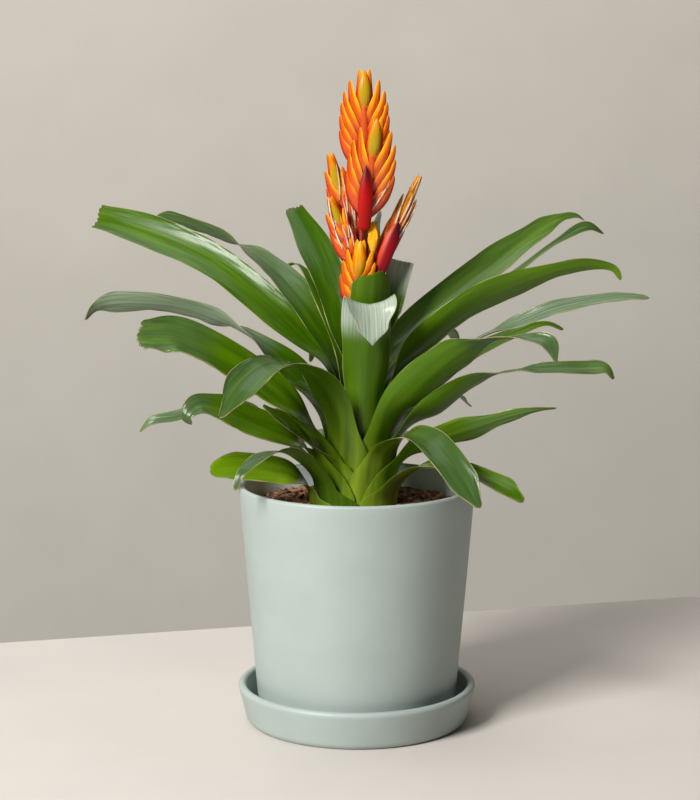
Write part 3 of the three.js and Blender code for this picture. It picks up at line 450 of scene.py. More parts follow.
leaves = [
    dict(node="leaf_left_high", azimuth=153, layer=8.6, rise=227, tone=0.25, tip="cut",
         route=[[26, 250], [43, 264], [69, 285], [126, 321], [193, 342], [218, 347]],
         width=[[0.3, 20], [0.45, 27], [0.85, 28], [1, 20]], twist=[[0.3, 0], [0.5, -42], [1, -55]]),
    dict(node="leaf_left_rear", azimuth=142, layer=7, rise=231, tone=0.1, wave=0.9, wax=0.12,
         route=[[26, 258], [50, 290], [79, 313], [114, 330], [160, 342], [190, 343], [197, 337]],
         width=[[0.3, 18], [0.45, 24], [0.65, 24], [0.8, 14], [0.92, 16], [1, 4]],
         twist=[[0.3, 0], [0.5, -32], [0.66, 0], [0.78, 45], [1, 60]]),
    dict(node="leaf_rear_left_small", azimuth=132, layer=5.45, rise=235, tone=0.2,
         route=[[20, 257], [35, 284], [53, 306], [70, 317], [83, 314]],
         width=[[0.3, 11], [0.75, 13], [1, 3]], twist=[[0.3, 0], [0.6, -22], [1, 10]]),
    dict(node="leaf_rear_left_upright", azimuth=120, layer=3.8, rise=246, tone=0.0, tip="cut",
         route=[[20, 268], [32, 289], [48, 309], [65, 326], [85, 343], [101, 355]],
         width=[[0.3, 17], [0.42, 18], [0.55, 24], [0.8, 25], [1, 14]],
         twist=[[0.42, 0], [0.6, -26], [1, -35]]),
    dict(node="leaf_left_long", azimuth=176, layer=11.6, rise=208, tone=0.0, wave=1.0, wax=0.4,
         route=[[29, 228], [52, 251], [83, 274], [121, 290], [167, 294], [187, 290], [194, 282]],
         width=[[0.3, 25], [0.55, 22], [0.7, 18], [0.9, 18], [1, 4]],
         twist=[[0.3, 0], [0.42, -42], [0.56, 0], [0.66, 48], [0.9, 60], [1, 20]]),
    dict(node="leaf_left_broad", azimuth=190, layer=14.9, rise=190, tone=0.38, tip="cut", wave=1.3,
         crinkle=2.6, wax=0.07, waxFrom=0.7, dull=0.2,
         route=[[34, 206], [61, 234], [103, 263], [130, 275], [156, 276]],
         width=[[0.3, 29], [0.85, 29], [1, 22]], twist=[[0.28, 0], [0.5, -48], [1, -60]]),
    dict(node="leaf_left_short", azimuth=214, layer=16, rise=184, tone=0.6,
         route=[[32, 192], [43, 202], [61, 217], [81, 231]], width=[[0.3, 22], [0.75, 18], [1, 3]],
         twist=[[0.3, 0], [0.7, -35], [1, -45]]),
    dict(node="leaf_front_left", azimuth=226, layer=12.7, rise=200, tone=0.3, wave=0.9, young=0.7,
         wax=0.06, waxFrom=0.6, dull=0.3,
         route=[[25, 218], [33, 233], [47, 248], [66, 258], [90, 261], [113, 251], [134, 231]],
         width=[[0.3, 27], [0.55, 25], [0.68, 20], [0.85, 26], [1, 5]],
         twist=[[0.28, 0], [0.45, 22], [0.62, 0], [0.75, -25], [1, -28]]),
    dict(node="leaf_left_mid", azimuth=205, layer=18.2, rise=178, wave=1.0, wax=0.1, waxFrom=0.78, dull=0.5,
         route=[[35, 190], [49, 202], [86, 219], [107, 229], [122, 232], [130, 225], [126, 219]],
         width=[[0.3, 28], [0.7, 26], [0.88, 17], [1, 4]],
         twist=[[0.28, 0], [0.5, -45], [0.8, -50], [1, -50]]),
    dict(node="leaf_left_thin", azimuth=178, layer=19.4, rise=172, tone=0.0, wax=0.2,
         route=[[36, 184], [59, 204], [84, 222], [104, 225], [128, 216], [146, 212], [154, 204]],
         width=[[0.3, 20], [0.5, 16], [0.68, 7], [0.84, 8], [0.92, 7], [1, 3]],
         twist=[[0.3, 0], [0.55, -30], [0.68, 40], [0.85, 90], [1, 140]]),
    dict(node="leaf_low_left", azimuth=194, layer=22, rise=158, tone=0.75, bare=0, wave=0.8, tip="round",
         route=[[36, 167], [46, 175], [60, 180], [78, 183], [92, 184], [105, 182]],
         width=[[0.3, 22], [0.8, 22], [1, 12]], twist=[[0.2, 0], [0.5, -50], [1, -60]]),
    dict(node="leaf_low_front_left", azimuth=221, layer=20.5, rise=163, tone=0.1, wave=0.7, young=0.1,
         wax=0.08, waxFrom=0.4, dull=0.2,
         route=[[34, 173], [48, 189], [66, 199], [88, 198], [104, 189], [109, 178]],
         width=[[0.3, 20], [0.7, 15], [1, 4]], twist=[[0.2, 0], [0.5, 15], [1, -20]]),
    dict(node="leaf_right_high", azimuth=35, layer=4.9, rise=236, tone=0.8, wave=0.6, wax=0.07,
         waxFrom=0.3, dull=0.25,
         route=[[23, 258], [44, 276], [75, 295], [110, 314], [146, 333], [176, 346], [192, 347], [200, 343]],
         width=[[0.3, 17], [0.45, 24], [0.7, 24], [0.86, 15], [0.94, 6], [1, 4]],
         twist=[[0.3, 0], [0.5, 38], [1, 50]]),
    dict(node="leaf_right_slender", azimuth=22, layer=6.4, rise=230, tone=0.3, wax=0.08, waxFrom=0.6,
         dull=0.2,
         route=[[24, 246.5], [46, 265], [80, 288], [118, 313], [150, 333], [174, 343], [187, 337]],
         width=[[0.3, 14], [0.5, 8], [0.85, 4], [0.94, 8], [1, 3]], twist=[[0.3, 0], [0.6, 30], [1, 50]]),
    dict(node="leaf_right_upper", azimuth=6, layer=7.5, rise=222, tone=0.95, wave=0.6,
         route=[[24, 243], [46, 268], [76, 291], [107, 306], [138, 316.5], [161, 320], [176, 317],
                [181, 309]],
         width=[[0.3, 23], [0.42, 32], [0.62, 30], [0.85, 13], [1, 4]],
         twist=[[0.3, 0], [0.46, -48], [1, -62]]),
    dict(node="leaf_right_mid", azimuth=356, layer=10.5, rise=210, tone=0.0, wave=0.8, wax=0.3,
         route=[[27, 227], [47, 249], [74, 268], [107, 283], [132, 293], [160, 299], [184, 301], [196, 300]],
         width=[[0.3, 22], [0.5, 17], [0.7, 12], [0.9, 8], [1, 4]],
         twist=[[0.28, 0], [0.42, -45], [0.58, 0], [0.68, 48], [1, 60]]),
    dict(node="leaf_right_inner", azimuth=25, layer=13.8, rise=196, tone=0.5,
         route=[[31, 211], [55, 237], [85, 255], [118, 267], [146, 273], [160, 268]],
         width=[[0.3, 20], [0.7, 13], [1, 3]], twist=[[0.3, 0], [0.6, 25], [1, 40]]),
    dict(node="leaf_right_front", azimuth=334, layer=11.6, rise=204, tone=0.55, wave=0.8, wax=0.12,
         waxFrom=0.62, dull=0.7,
         route=[[27, 221], [47, 243], [73, 264], [96, 275], [120, 278], [137, 276], [143, 262]],
         width=[[0.3, 32], [0.46, 35], [0.6, 30], [0.75, 9], [0.86, 8], [0.93, 11], [1, 3]],
         twist=[[0.26, 0], [0.42, -45], [0.62, -50], [0.8, 0], [0.9, 45], [1, 60]]),
    dict(node="leaf_right_lower", azimuth=352, layer=14.9, rise=194, tone=0.8, wave=0.9, wax=0.12,
         waxFrom=0.5, dull=0.55,
         route=[[32, 207], [48, 221], [68, 236], [90, 247], [120, 252], [152, 253], [167, 253], [173, 246]],
         width=[[0.3, 25], [0.5, 24], [0.66, 9], [0.8, 10], [0.92, 11], [1, 4]],
         twist=[[0.26, 0], [0.4, -45], [0.55, -35], [0.68, 0], [0.76, 48], [0.92, 50], [1, 20]]),
    dict(node="leaf_right_low", azimuth=342, layer=17.2, rise=178, tone=0.7, wave=0.7, wax=0.08,
         waxFrom=0.55, dull=0.3,
         route=[[33, 187], [44, 195], [63, 205], [84, 213], [104, 221], [124, 227], [138, 229]],
         width=[[0.3, 27], [0.55, 24], [0.75, 11], [1, 3]],
         twist=[[0.25, 0], [0.42, -45], [0.8, -62], [1, -50]]),
    dict(node="leaf_front_right", azimuth=310, layer=16, rise=182, tone=-0.05, wave=0.8, young=0.9,
         wax=0.05, waxFrom=0.4, dull=0.3,
         route=[[29, 194], [38, 203], [52, 210], [68, 209], [86, 201], [106, 187], [124, 171]],
         width=[[0.3, 28], [0.5, 23], [0.85, 21], [1, 6]],
         twist=[[0.28, 0], [0.5, 18], [0.7, 30], [1, 35]]),
    dict(node="leaf_low_front_right", azimuth=326, layer=18.4, rise=163, tone=0.35, wave=0.8, young=0.8,
         route=[[35, 173], [47, 183], [62, 188], [82, 188], [104, 183], [120, 178], [133, 171]],
         width=[[0.3, 24], [0.6, 20], [0.85, 18], [1, 5]], twist=[[0.22, 0], [0.6, 10], [1, 28]]),
    dict(node="leaf_centre_front", azimuth=280, layer=6.3, rise=246, flat=1, tone=0.4, wax=1.0,
         waxFrom=0.66, wave=0.4,
         route=[[19, 274], [21, 288], [25, 297], [31, 296], [35, 286], [37, 270]],
         width=[[0.3, 22], [0.42, 24], [0.58, 34], [0.74, 38], [0.85, 37], [0.93, 22], [1, 3]]),
    dict(node="leaf_centre_lobe", azimuth=297, layer=3.6, rise=258, flat=1, tone=0.8, tip="cut",
         widen=1.17, route=[[14.5, 290], [17.5, 319]],
         width=[[0.3, 16], [0.6, 20], [0.85, 29], [0.94, 27], [1, 15]]),
    # leaf_centre_right: its pale wax band at the top is partly grey wax and partly painted light on a lit
    # fold
    dict(node="leaf_centre_right", azimuth=30, layer=2.4, rise=256, tone=0.4, tip="cut", torn=0.15,
         wax=1.0, waxFrom=0.84,
         route=[[15, 271], [21, 286], [26, 303], [29, 314], [31.5, 323]],
         width=[[0.3, 11], [0.66, 11], [0.82, 17], [1, 18]], twist=[[0.64, 0], [0.86, 48], [1, 52]]),
    dict(node="leaf_centre_point", azimuth=58, layer=1.1, rise=256, tone=0.1,
         route=[[10, 283], [16, 301], [27, 318], [36, 332]], width=[[0.3, 11], [0.7, 14], [1, 2]]),
    dict(node="leaf_centre_rear", azimuth=68, layer=0, rise=262, tone=0.1, wax=0.8, waxFrom=0.7,
         route=[[8, 290], [15, 320], [25, 346], [33, 356]], width=[[0.3, 10], [0.6, 12], [0.8, 15], [1, 3]],
         twist=[[0.5, 0], [0.8, 25], [1, 40]]),
    dict(node="leaf_rear_right_high", azimuth=62, layer=9.4, rise=214,
         route=[[26, 236], [44, 254], [70, 268], [104, 270], [140, 258], [163, 238]],
         width=[[0.3, 26], [0.8, 25], [1, 4]], twist=[[0.3, 0], [0.7, 15], [1, 30]]),
    dict(node="leaf_rear_high", azimuth=104, layer=10.5, rise=212,
         route=[[26, 232], [44, 252], [70, 266], [108, 266], [144, 248], [160, 232]],
         width=[[0.3, 26], [0.8, 26], [1, 4]], twist=[[0.3, 0], [0.7, -12], [1, -25]]),
    dict(node="leaf_rear_mid", azimuth=88, layer=12.7, rise=203,
         route=[[28, 216], [46, 229], [76, 240], [118, 238], [152, 216]],
         width=[[0.3, 27], [0.8, 25], [1, 4]], twist=[[0.3, 0], [1, 10]]),
    dict(node="leaf_rear_left_mid", azimuth=134, layer=13.8, rise=197,
         route=[[30, 210], [46, 224], [76, 236], [108, 236], [132, 222]],
         width=[[0.3, 26], [0.8, 24], [1, 4]], twist=[[0.3, 0], [1, -12]]),
    dict(node="leaf_rear_right_mid", azimuth=50, layer=16, rise=188,
         route=[[33, 202], [50, 214], [78, 222], [106, 219], [128, 207]],
         width=[[0.3, 25], [0.8, 22], [1, 4]], twist=[[0.3, 0], [1, 18]]),
    dict(node="leaf_low_rear_left", azimuth=114, layer=18.4, rise=164,
         route=[[37, 175], [50, 184], [72, 190], [100, 186], [122, 172]],
         width=[[0.3, 24], [0.8, 21], [1, 4]], twist=[[0.3, 0], [1, -10]]),
    dict(node="leaf_low_rear_right", azimuth=70, layer=17.2, rise=168,
         route=[[36, 178], [50, 187], [73, 192], [102, 188], [124, 175]],
         width=[[0.3, 24], [0.8, 21], [1, 4]], twist=[[0.3, 0], [1, 10]]),
    dict(node="leaf_low_left_rear", azimuth=156, layer=17, rise=180,
         route=[[33, 193], [47, 204], [68, 212], [90, 212]], width=[[0.3, 24], [0.75, 20], [1, 3]],
         twist=[[0.3, 0], [1, -20]]),
]


# centripetal Catmull-Rom curve through the points: on each stretch the cubic with the two points' tangents,
# which are weighted by the square roots of the neighbouring spans; sampled evenly by point index
def smoothLine(points, samples):
    points = np.concatenate([[2 * points[0] - points[1]], points, [2 * points[-1] - points[-2]]])
    place = np.linspace(0, len(points) - 3, samples)
    k = np.minimum(place.astype(int), len(points) - 4)
    t = (place - k)[:, None]
    p0, p1, p2, p3 = (points[k + j] for j in range(4))
    d0, d1, d2 = (np.sqrt(np.linalg.norm(b - a, axis=1))[:, None] for a, b in ((p0, p1), (p1, p2), (p2, p3)))
    m1 = ((p1 - p0) / d0 - (p2 - p0) / (d0 + d1) + (p2 - p1) / d1) * d1
    m2 = ((p2 - p1) / d1 - (p3 - p1) / (d1 + d2) + (p3 - p2) / d2) * d1
    return p1 + m1 * t + (3 * p2 - 3 * p1 - 2 * m1 - m2) * t ** 2 + (2 * p1 - 2 * p2 + m1 + m2) * t ** 3


# middle line of a leaf: up its sheath, then along its route, all in the upright plane of its azimuth
def leafLine(leaf, radius):
    azimuth, base = math.radians(leaf["azimuth"]), leafShape["base"]
    sheath = [[radius + leafShape["flare"] * t * t, base + (leaf["rise"] - base) * t] for t in (0, 0.5, 1)]
    reach, height = np.array(sheath + leaf["route"], float).T
    points = np.stack([reach * math.cos(azimuth), reach * math.sin(azimuth), height], axis=-1)
    line = smoothLine(points, leafShape["samples"])
    length = np.concatenate([[0], np.cumsum(np.linalg.norm(np.diff(line, axis=0), axis=1))])
    return line, length


# values along a line, read off straight between its points at the shares s of its length
def readOff(s, share, values):
    return np.stack([np.interp(s, share, values[:, k]) for k in range(3)], axis=-1)


# both faces of a sheet as one ring: the upper side's values, then the underside's from the far margin back
def bothFaces(upper, under=None):
    return np.concatenate([upper, (upper if under is None else under)[:, ::-1]], axis=1)


# Leaf blade. Across its middle line lies an arc that is bent round the plant in the sheath and flatter
# outside it: point = centre + side * sin(a) * radius - face * cos(a) * radius, where a runs from one
# margin to the other. The margins wave, the middle is creased, and the end is pointed, round or cut.
# s runs from 0 at the base to 1 at the tip, and u from -1 at one margin to 1 at the other.
def leafBlade(leaf):
    shape = leafShape
    layerRadius = shape["inner"] + shape["step"] * leaf["layer"]
    line, length = leafLine(leaf, layerRadius)
    total = length[-1]
    share = length / total
    seed = sum(ord(letter) for letter in leaf["node"])
    s, u = np.meshgrid(np.linspace(0, 1, shape["rows"]) ** 0.92, sheetPlaces(shape["columns"]),
                       indexing="ij")
    if leaf["tip"] == "cut":
        torn = 0.45 * (1 - np.cos(3.1 * u + seed)) / 2 + 0.3 * np.abs(u) ** 3 + 0.12 * np.sin(17 * u + seed)
        s = s * (1 - np.clip(torn, 0, 1) * leaf["torn"] * 6.5 / total * smooth(s, 0.8, 1))
    place = readOff(s, share, line)
    along = unit(readOff(s, share, np.gradient(line, axis=0)))
    azimuth = math.radians(leaf["azimuth"])
    across = np.array([-math.sin(azimuth), math.cos(azimuth), 0])
    side = unit(across - along * (along @ across)[..., None])
    face = np.cross(along, side)
    turn = np.radians(keyed(leaf["twist"], s))[..., None]
    side = side * np.cos(turn) + face * np.sin(turn)
    face = np.cross(along, side)
    wrap = min(layerRadius * shape["wrap"], shape["halfWidth"])
    width = keyed(leaf["width"], s) / 2 * (1 + (leaf["widen"] - 1) * smooth(s, 0.5, 0.8))
    half = wrap + (width - wrap) * smooth(s, 0.04, 0.32)
    clasp = min(layerRadius * shape["clasp"], shape["claspMost"])
    sheath = (leaf["rise"] - shape["base"]) / total
    half = half + np.maximum(clasp - half, 0) * (1 - smooth(s, 0.45 * sheath, 1.4 * sheath))
    if leaf["tip"] != "cut":
        cap = shape["ends"][leaf["tip"]]
        half = half * np.sqrt(np.clip(1 - np.clip((s - 1 + cap) / cap, 0, 1) ** 2, 0.0004, 1))
    flat = leaf["flat"] * smooth(s, 0.42, 0.6)
    reach = 1 / np.hypot(place[..., 0], place[..., 1])
    bend = np.maximum(reach + (shape["cup"] - reach) * flat, shape["cup"])
    angle = (bend * half * u)[..., None]
    normal = face * np.cos(angle) - side * np.sin(angle)
    middle = place + face / bend[..., None] - normal / bend[..., None]
    free = smooth(s, 0.34, 0.55)
    wave = leaf["wave"] * free * np.abs(u) ** 2.5 * (
        np.sin(s * total / shape["longWave"] + 2.1 * np.sign(u) + seed)
        + 0.5 * np.sin(s * total / shape["shortWave"] + seed * u))
    crinkle = np.sin(s * total / shape["crinkleWave"] + 3 * u) * (0.3 + u * u) * 0.5
    wave += leaf["crinkle"] * smooth(s, 0.72, 0.97) * crinkle
    crease = -shape["crease"] * free * np.exp(-(u / shape["creaseWidth"]) ** 2) * smooth(1 - s, 0, 0.1)
    middle = middle + normal * (wave + crease)[..., None]
    thick = shape["thick"] * (1 - 0.8 * np.abs(u) ** 5) * (0.45 + 0.55 * smooth(1 - s, 0, 0.03))
    ring = bothFaces(middle + normal * thick[..., None] / 2, middle - normal * thick[..., None] / 2)
    lean = smooth(ring[..., 2], shape["leanFrom"], shape["leanTo"])
    ring[..., 0] += shape["leanReach"] * lean
    ending = smooth(s, leaf["waxFrom"], leaf["waxFrom"] + 0.12)
    values = {
        "across": half * u, "alongMm": s * total, "wax": leaf["wax"] * ending,
        "marginMm": half * (1 - np.abs(u)) + 9 * leaf["bare"] * (1 - smooth(s, 0.25, 0.45)),
        "tone": leaf["tone"] - leaf["dull"] * ending, "dry": shape["dryTip"] * smooth(s, 0.965, 1.0),
        "young": leaf["young"] + 0 * u, "leafSeed": seed % 97 + 0 * u}
    values = {key: bothFaces(value) for key, value in values.items()}
    return ring, values | {"height": ring[..., 2], "upper": bothFaces(1 + 0 * u, 0 * u)}


leafFinish = dict(deep="#2b4a02", bright="#5a8004", young="#90a82a", under="#3f6012", waxy="#aab6a8",
                  margin="#a89c6c", paper="#b8ae99", dry="#755a31", veinPitch=1.1, roughness=0.21)


# Bromeliad leaf, grown with a thin wax coat: deep green above with fine lengthwise veins and soft long
# highlights, grey-green with pale scales beneath, yellow-green where the sheath saw no light, and a
# thin pale margin.
def waxCoatedLeaf():
    material, add = startMaterial("waxCoatedLeaf")
    read = {name: add("Attribute", attribute_name=name) for name in (
        "across", "alongMm", "marginMm", "upper", "wax", "height", "tone", "dry", "young", "leafSeed")}
    lengthwise = (add, read["across"], read["alongMm"], read["leafSeed"])
    veins = lengthwiseNoise(*lengthwise, 1 / leafFinish["veinPitch"], 1 / 55, Roughness=0.6)
    bands = lengthwiseNoise(*lengthwise, 1 / 6, 1 / 60)
    shade = add("Math", {0: bands, 1: 1.1, 2: -0.55}, operation="MULTIPLY_ADD")
    # tone: each leaf's own green, partly raised or lowered leaf by leaf as painted light and shade
    shade = add("Math", {0: shade, 1: read["tone"]}, operation="ADD")
    shade = add("Math", {0: add("Math", {0: veins, 1: 0.5, 2: -0.25}, operation="MULTIPLY_ADD"), 1: shade},
                operation="ADD", use_clamp=True)
    below = add("MapRange", {0: read["upper"], 1: 0.6, 2: 0.4, 4: 0.35})
    young = add("MapRange", {0: read["alongMm"], 1: 105, 2: 15, 4: 0.95}, interpolation_type="SMOOTHSTEP")
    young = add("Math", {0: young, 1: read["young"]})
    young = add("Math", {0: young, 1: add("MapRange", {0: bands, 1: 0.3, 2: 0.68, 3: 0.2, 4: 1.0})})
    streaks = add("MapRange", {0: veins, 1: 0.3, 2: 0.62, 3: 0.45, 4: 1.0})
    # wax: pale grey wax towards the end; on leaf_centre_right it is partly painted light on a lit fold
    waxy = add("Math", {0: read["wax"], 1: streaks})
    rim = add("MapRange", {0: read["marginMm"], 1: 0.55, 2: 0.1, 4: 0.6}, interpolation_type="SMOOTHSTEP")
    sheathRim = add("MapRange", {0: read["height"], 1: 205, 2: 165}, interpolation_type="SMOOTHSTEP")
    papery = add("MapRange", {0: read["marginMm"], 1: 1.6, 2: 0.4, 4: 0.35}, interpolation_type="SMOOTHSTEP")
    papery = add("Math", {0: papery, 1: sheathRim})
    papery = add("Math", {0: papery, 1: add("MapRange", {0: bands, 1: 0.42, 2: 0.58})})
    colour = leafFinish["deep"]
    for part, paint in ((shade, "bright"), (below, "under"), (young, "young"), (waxy, "waxy"),
                        (rim, "margin"), (papery, "paper"), (read["dry"], "dry")):
        colour = add("Mix", {0: part, 6: colour, 7: leafFinish[paint]})
    rough = add("MapRange", {0: veins, 1: 0.3, 2: 0.7, 3: leafFinish["roughness"] - 0.03,
                             4: leafFinish["roughness"] + 0.07})
    underRough = add("MapRange", {0: read["upper"], 1: 0.6, 2: 0.4, 4: 0.12})
    rough = add("Math", {0: rough, 1: underRough}, operation="ADD")
    relief = add("Bump", {"Height": veins, "Distance": 0.00022, "Strength": 0.55})
    return finishMaterial(material, add, {
        "Base Color": colour, "Roughness": rough, "IOR": 1.45, "Specular IOR Level": 0.22, "Normal": relief,
        "Coat Weight": 0.06, "Coat Roughness": 0.1, "Subsurface Weight": 0.06,
        "Subsurface Radius": (0.6, 1.0, 0.2), "Subsurface Scale": 0.0012})


waxCoat = waxCoatedLeaf()
for leaf in leaves:
    makePiece(leaf["node"], "leaf", waxCoat, *joinTubes(leafBlade(leafUsual | leaf)))
print("leaves grown:", len(leaves))


stem = dict(radius=3.4, branch=1.7, base=146.0, joint=26.0, red="#a63a22", brown="#7a2c1e", green="#6a7a2c")

# Each spike: base is its lower end, tilt its lean to the right and nod its lean towards the viewer in
# degrees, ranks the bracts on each side, bract their length, branch the height where it leaves the stem,
# heart the width and length of its middle bud, and fringes the dried strands on its front, each from one
# [across, up] to the next. paper is how far its bracts have dried pale, stringy how thin and straw-brown
# they are, and olive how green the heart is; one more key moves bracts and heart towards yellow, and on
# spike_right it also lightens bracts in the shade of the spikes in front, as painted light.
spikeUsual = dict(paper=0.0, stringy=0, gold=0, olive=1, fringes=[])
spikes = [
    dict(node="spike_top", base=[5, 1.5, 390], tilt=0, nod=-2, length=65, spread=16.5, ranks=6, bract=36,
         heart=[9.4, 31]),
    dict(node="spike_upper_front", base=[6, -8.5, 360], tilt=7, nod=6, length=64, spread=16, ranks=5,
         bract=38, branch=346, heart=[9.4, 33],
         fringes=[[5, 3, 14, 23], [3.5, 0, 12, 17]]),
    dict(node="spike_left", base=[-3, 4, 335], tilt=-14, nod=0, length=65, spread=8, ranks=4, bract=33,
         branch=322, paper=0.35, heart=[7.2, 36],
         fringes=[[3.5, 4, 5.5, 34], [2, 22, 4.5, 51], [5, 12, 7.5, 40], [-1, 32, 2.5, 57]]),
    dict(node="spike_lower_left", base=[-4, -3, 326], tilt=-19, nod=0, length=45, spread=7.5, ranks=3,
         bract=28, branch=310, paper=0.3, heart=[6.6, 26],
         fringes=[[-3, 8, -3.5, 29], [-3.6, 24, -0.8, 46], [3.5, 14, 8, 42], [5, 8, 5.6, 27],
                  [0, 4, 1.5, 24]]),
    dict(node="spike_lower_front", base=[-0.5, -6.5, 296], tilt=4, nod=4, length=44, spread=11.5, ranks=4,
         bract=27, branch=286, heart=[10, 32], olive=0.55, gold=0.15),
    dict(node="spike_bud", base=[10.5, -6, 330], tilt=2, nod=0, length=22, spread=3, ranks=1, bract=16,
         branch=318, heart=[7.4, 23], olive=0, gold=0.8),
    # spike_right: its yellow share also lightens bracts in the shade of the spikes in front, as painted light
    dict(node="spike_right", base=[12.5, 2.5, 317], tilt=25, nod=0, length=73, spread=6, ranks=3, bract=40,
         branch=304, stringy=0.8, gold=0.2, heart=[4, 40],
         fringes=[[-1, 34, -3, 63], [1, 32, 0.5, 72], [3, 30, 3, 60], [4.5, 26, 6.5, 54]]),
]


# Flower stalk, grown smooth: red-brown with green showing through low down, and a slight swelling with a
# fine ridge at each joint.
def smoothStalk():
    material, add = startMaterial("smoothStalk")
    place = add("TexCoord", output="Object")
    drawn = add("VectorMath", {0: place, 1: (1200, 1200, 60)}, operation="MULTIPLY")
    streaks = add("TexNoise", {"Vector": drawn, "Scale": 1.0, "Detail": 3})
    brown = add("MapRange", {0: streaks, 1: 0.35, 2: 0.65})
    low = add("MapRange", {0: add("SeparateXYZ", {0: place}, 2), 1: 0.33, 2: 0.27},
              interpolation_type="SMOOTHSTEP")
    colour = stem["red"]
    for part, paint in ((brown, "brown"), (low, "green")):
        colour = add("Mix", {0: part, 6: colour, 7: stem[paint]})
    relief = add("Bump", {"Height": streaks, "Distance": 0.0002, "Strength": 0.5})
    return finishMaterial(material, add, {
        "Base Color": colour, "Roughness": 0.42, "IOR": 1.45, "Normal": relief, "Coat Weight": 0.1,
        "Coat Roughness": 0.3})


# round tube along a line: at each row a ring of radius(row) in the plane across the line
def roundTube(line, radius, ring):
    along = unit(np.gradient(line, axis=0))
    side = unit(np.cross(along, [0.0, 1.0, 0.0]))
    up = np.cross(side, along)
    turn = ringAngles(ring)[None, :, None]
    return line[:, None] + radius[:, None, None] * (side[:, None] * np.cos(turn) + up[:, None] * np.sin(turn))


# the stalk up to the top spike, swollen at each joint, and a thin branch from it to each other spike
def makeStem(material):
    lean = leafShape["leanReach"]
    x, y, z = spikes[0]["base"]
    line = smoothLine(np.array([[0, 0, stem["base"]], [0.5, 0, 190], [lean, 0, 260], [lean + 0.7, 0, 330],
                                [x, y, z + 3.0]], float), 150)
    swell = 1 + 0.07 * np.exp(-(((line[:, 2] - stem["base"]) % stem["joint"] - 13) / 1.6) ** 2)
    tubes = [roundTube(line, stem["radius"] * swell * (1 - 0.25 * smooth(line[:, 2], 350, 392)), 20)]
    for spike in spikes[1:]:
        (x, y, z), low = spike["base"], spike["branch"]
        path = [[lean + 0.5, 0, low], [lean + 0.55 * (x - lean), y * 0.5, low + 0.4 * (z - low)],
                [x, y, z + 2.0]]
        taper = np.full(24, stem["branch"]) * np.linspace(1.15, 0.9, 24)
        tubes.append(roundTube(smoothLine(np.array(path, float), 24), taper, 12))
    makePiece("flower_stem", "flower_stem", material, *joinTubes(*[(tube, {}) for tube in tubes]))


makeStem(smoothStalk())
print("flower stem made")


# in mm: a bract's width, a fringe's width, depth and how far it lies in front, skin and deepest bract
bractShape = dict(rows=26, columns=13, width=7.6, fringe=1.15, fringeDeep=0.5, fringeFront=2.6,
                  fringePaper=1.15, skin=0.4, deepest=2.6, restSeed=60.0, seed=11)
bractColour = dict(root="#ac2a0c", salmon="#c8502a", orange="#c44c02", amber="#d06a02", tip="#ea9806",
                   keel="#a81c02", margin="#f4ac18", olive="#a29212", pale="#dccabb", straw="#6e3c1c")


# Waxy bract of the flower spike, grown: orange with a redder keel, yellow tips and margins, salmon where
# it wraps the next one, and an olive heart; smooth enough for a soft highlight on each.
def waxyBract():
    material, add = startMaterial("waxyBract")
    read = {name: add("Attribute", attribute_name=name) for name in (
        "share", "fold", "heart", "paper", "straw", "bractSeed", "acrossMm", "alongMm")}
    streaks = lengthwiseNoise(add, read["acrossMm"], read["alongMm"], read["bractSeed"], 0.9, 0.09)
    change = add("Math", {0: streaks, 1: 1.0, 2: -0.5}, operation="MULTIPLY_ADD")
    run = add("Math", {0: read["share"], 1: change}, operation="ADD")
    layers = [(add("MapRange", {0: run, 1: low, 2: high}, interpolation_type="SMOOTHSTEP"), paint)
              for low, high, paint in ((0.02, 0.22, "salmon"), (0.2, 0.42, "orange"), (0.5, 0.8, "amber"),
                                       (0.8, 0.98, "tip"))]
    keel = add("MapRange", {0: read["fold"], 1: 0.5, 2: 0.1, 4: 1.0}, interpolation_type="SMOOTHSTEP")
    keel = add("Math", {0: keel, 1: add("MapRange", {0: read["share"], 1: 0.95, 2: 0.55})})
    rim = add("MapRange", {0: read["fold"], 1: 0.55, 2: 0.95}, interpolation_type="SMOOTHSTEP")
    rim = add("Math", {0: rim, 1: add("MapRange", {0: read["share"], 1: 0.2, 2: 0.5})})
    heart = add("MapRange", {0: read["share"], 1: 0.95, 2: 0.7, 4: 0.85})
    heart = add("Math", {0: read["heart"], 1: heart})
    straw = add("Math", {0: read["straw"], 1: add("MapRange", {0: streaks, 1: 0.56, 2: 0.44})})
    dried = add("Math", {0: read["paper"], 1: 0.3, 2: -0.24}, operation="MULTIPLY_ADD")
    dried = add("Math", {0: streaks, 1: dried}, operation="ADD")
    papery = add("MapRange", {0: dried, 1: 0.47, 2: 0.58}, interpolation_type="SMOOTHSTEP")
    colour = bractColour["root"]
    for part, paint in layers + [(keel, "keel"), (rim, "margin"), (heart, "olive"), (straw, "straw"),
                                 (papery, "pale")]:
        colour = add("Mix", {0: part, 6: colour, 7: bractColour[paint]})
    relief = add("Bump", {"Height": streaks, "Distance": 0.00045, "Strength": 0.8})
    return finishMaterial(material, add, {
        "Base Color": colour, "Roughness": 0.3, "Specular IOR Level": 0.2, "Normal": relief,
        "Coat Weight": 0.14, "Coat Roughness": 0.1, "Subsurface Weight": 0.08,
        "Subsurface Radius": (1.0, 0.5, 0.1), "Subsurface Scale": 0.0015})


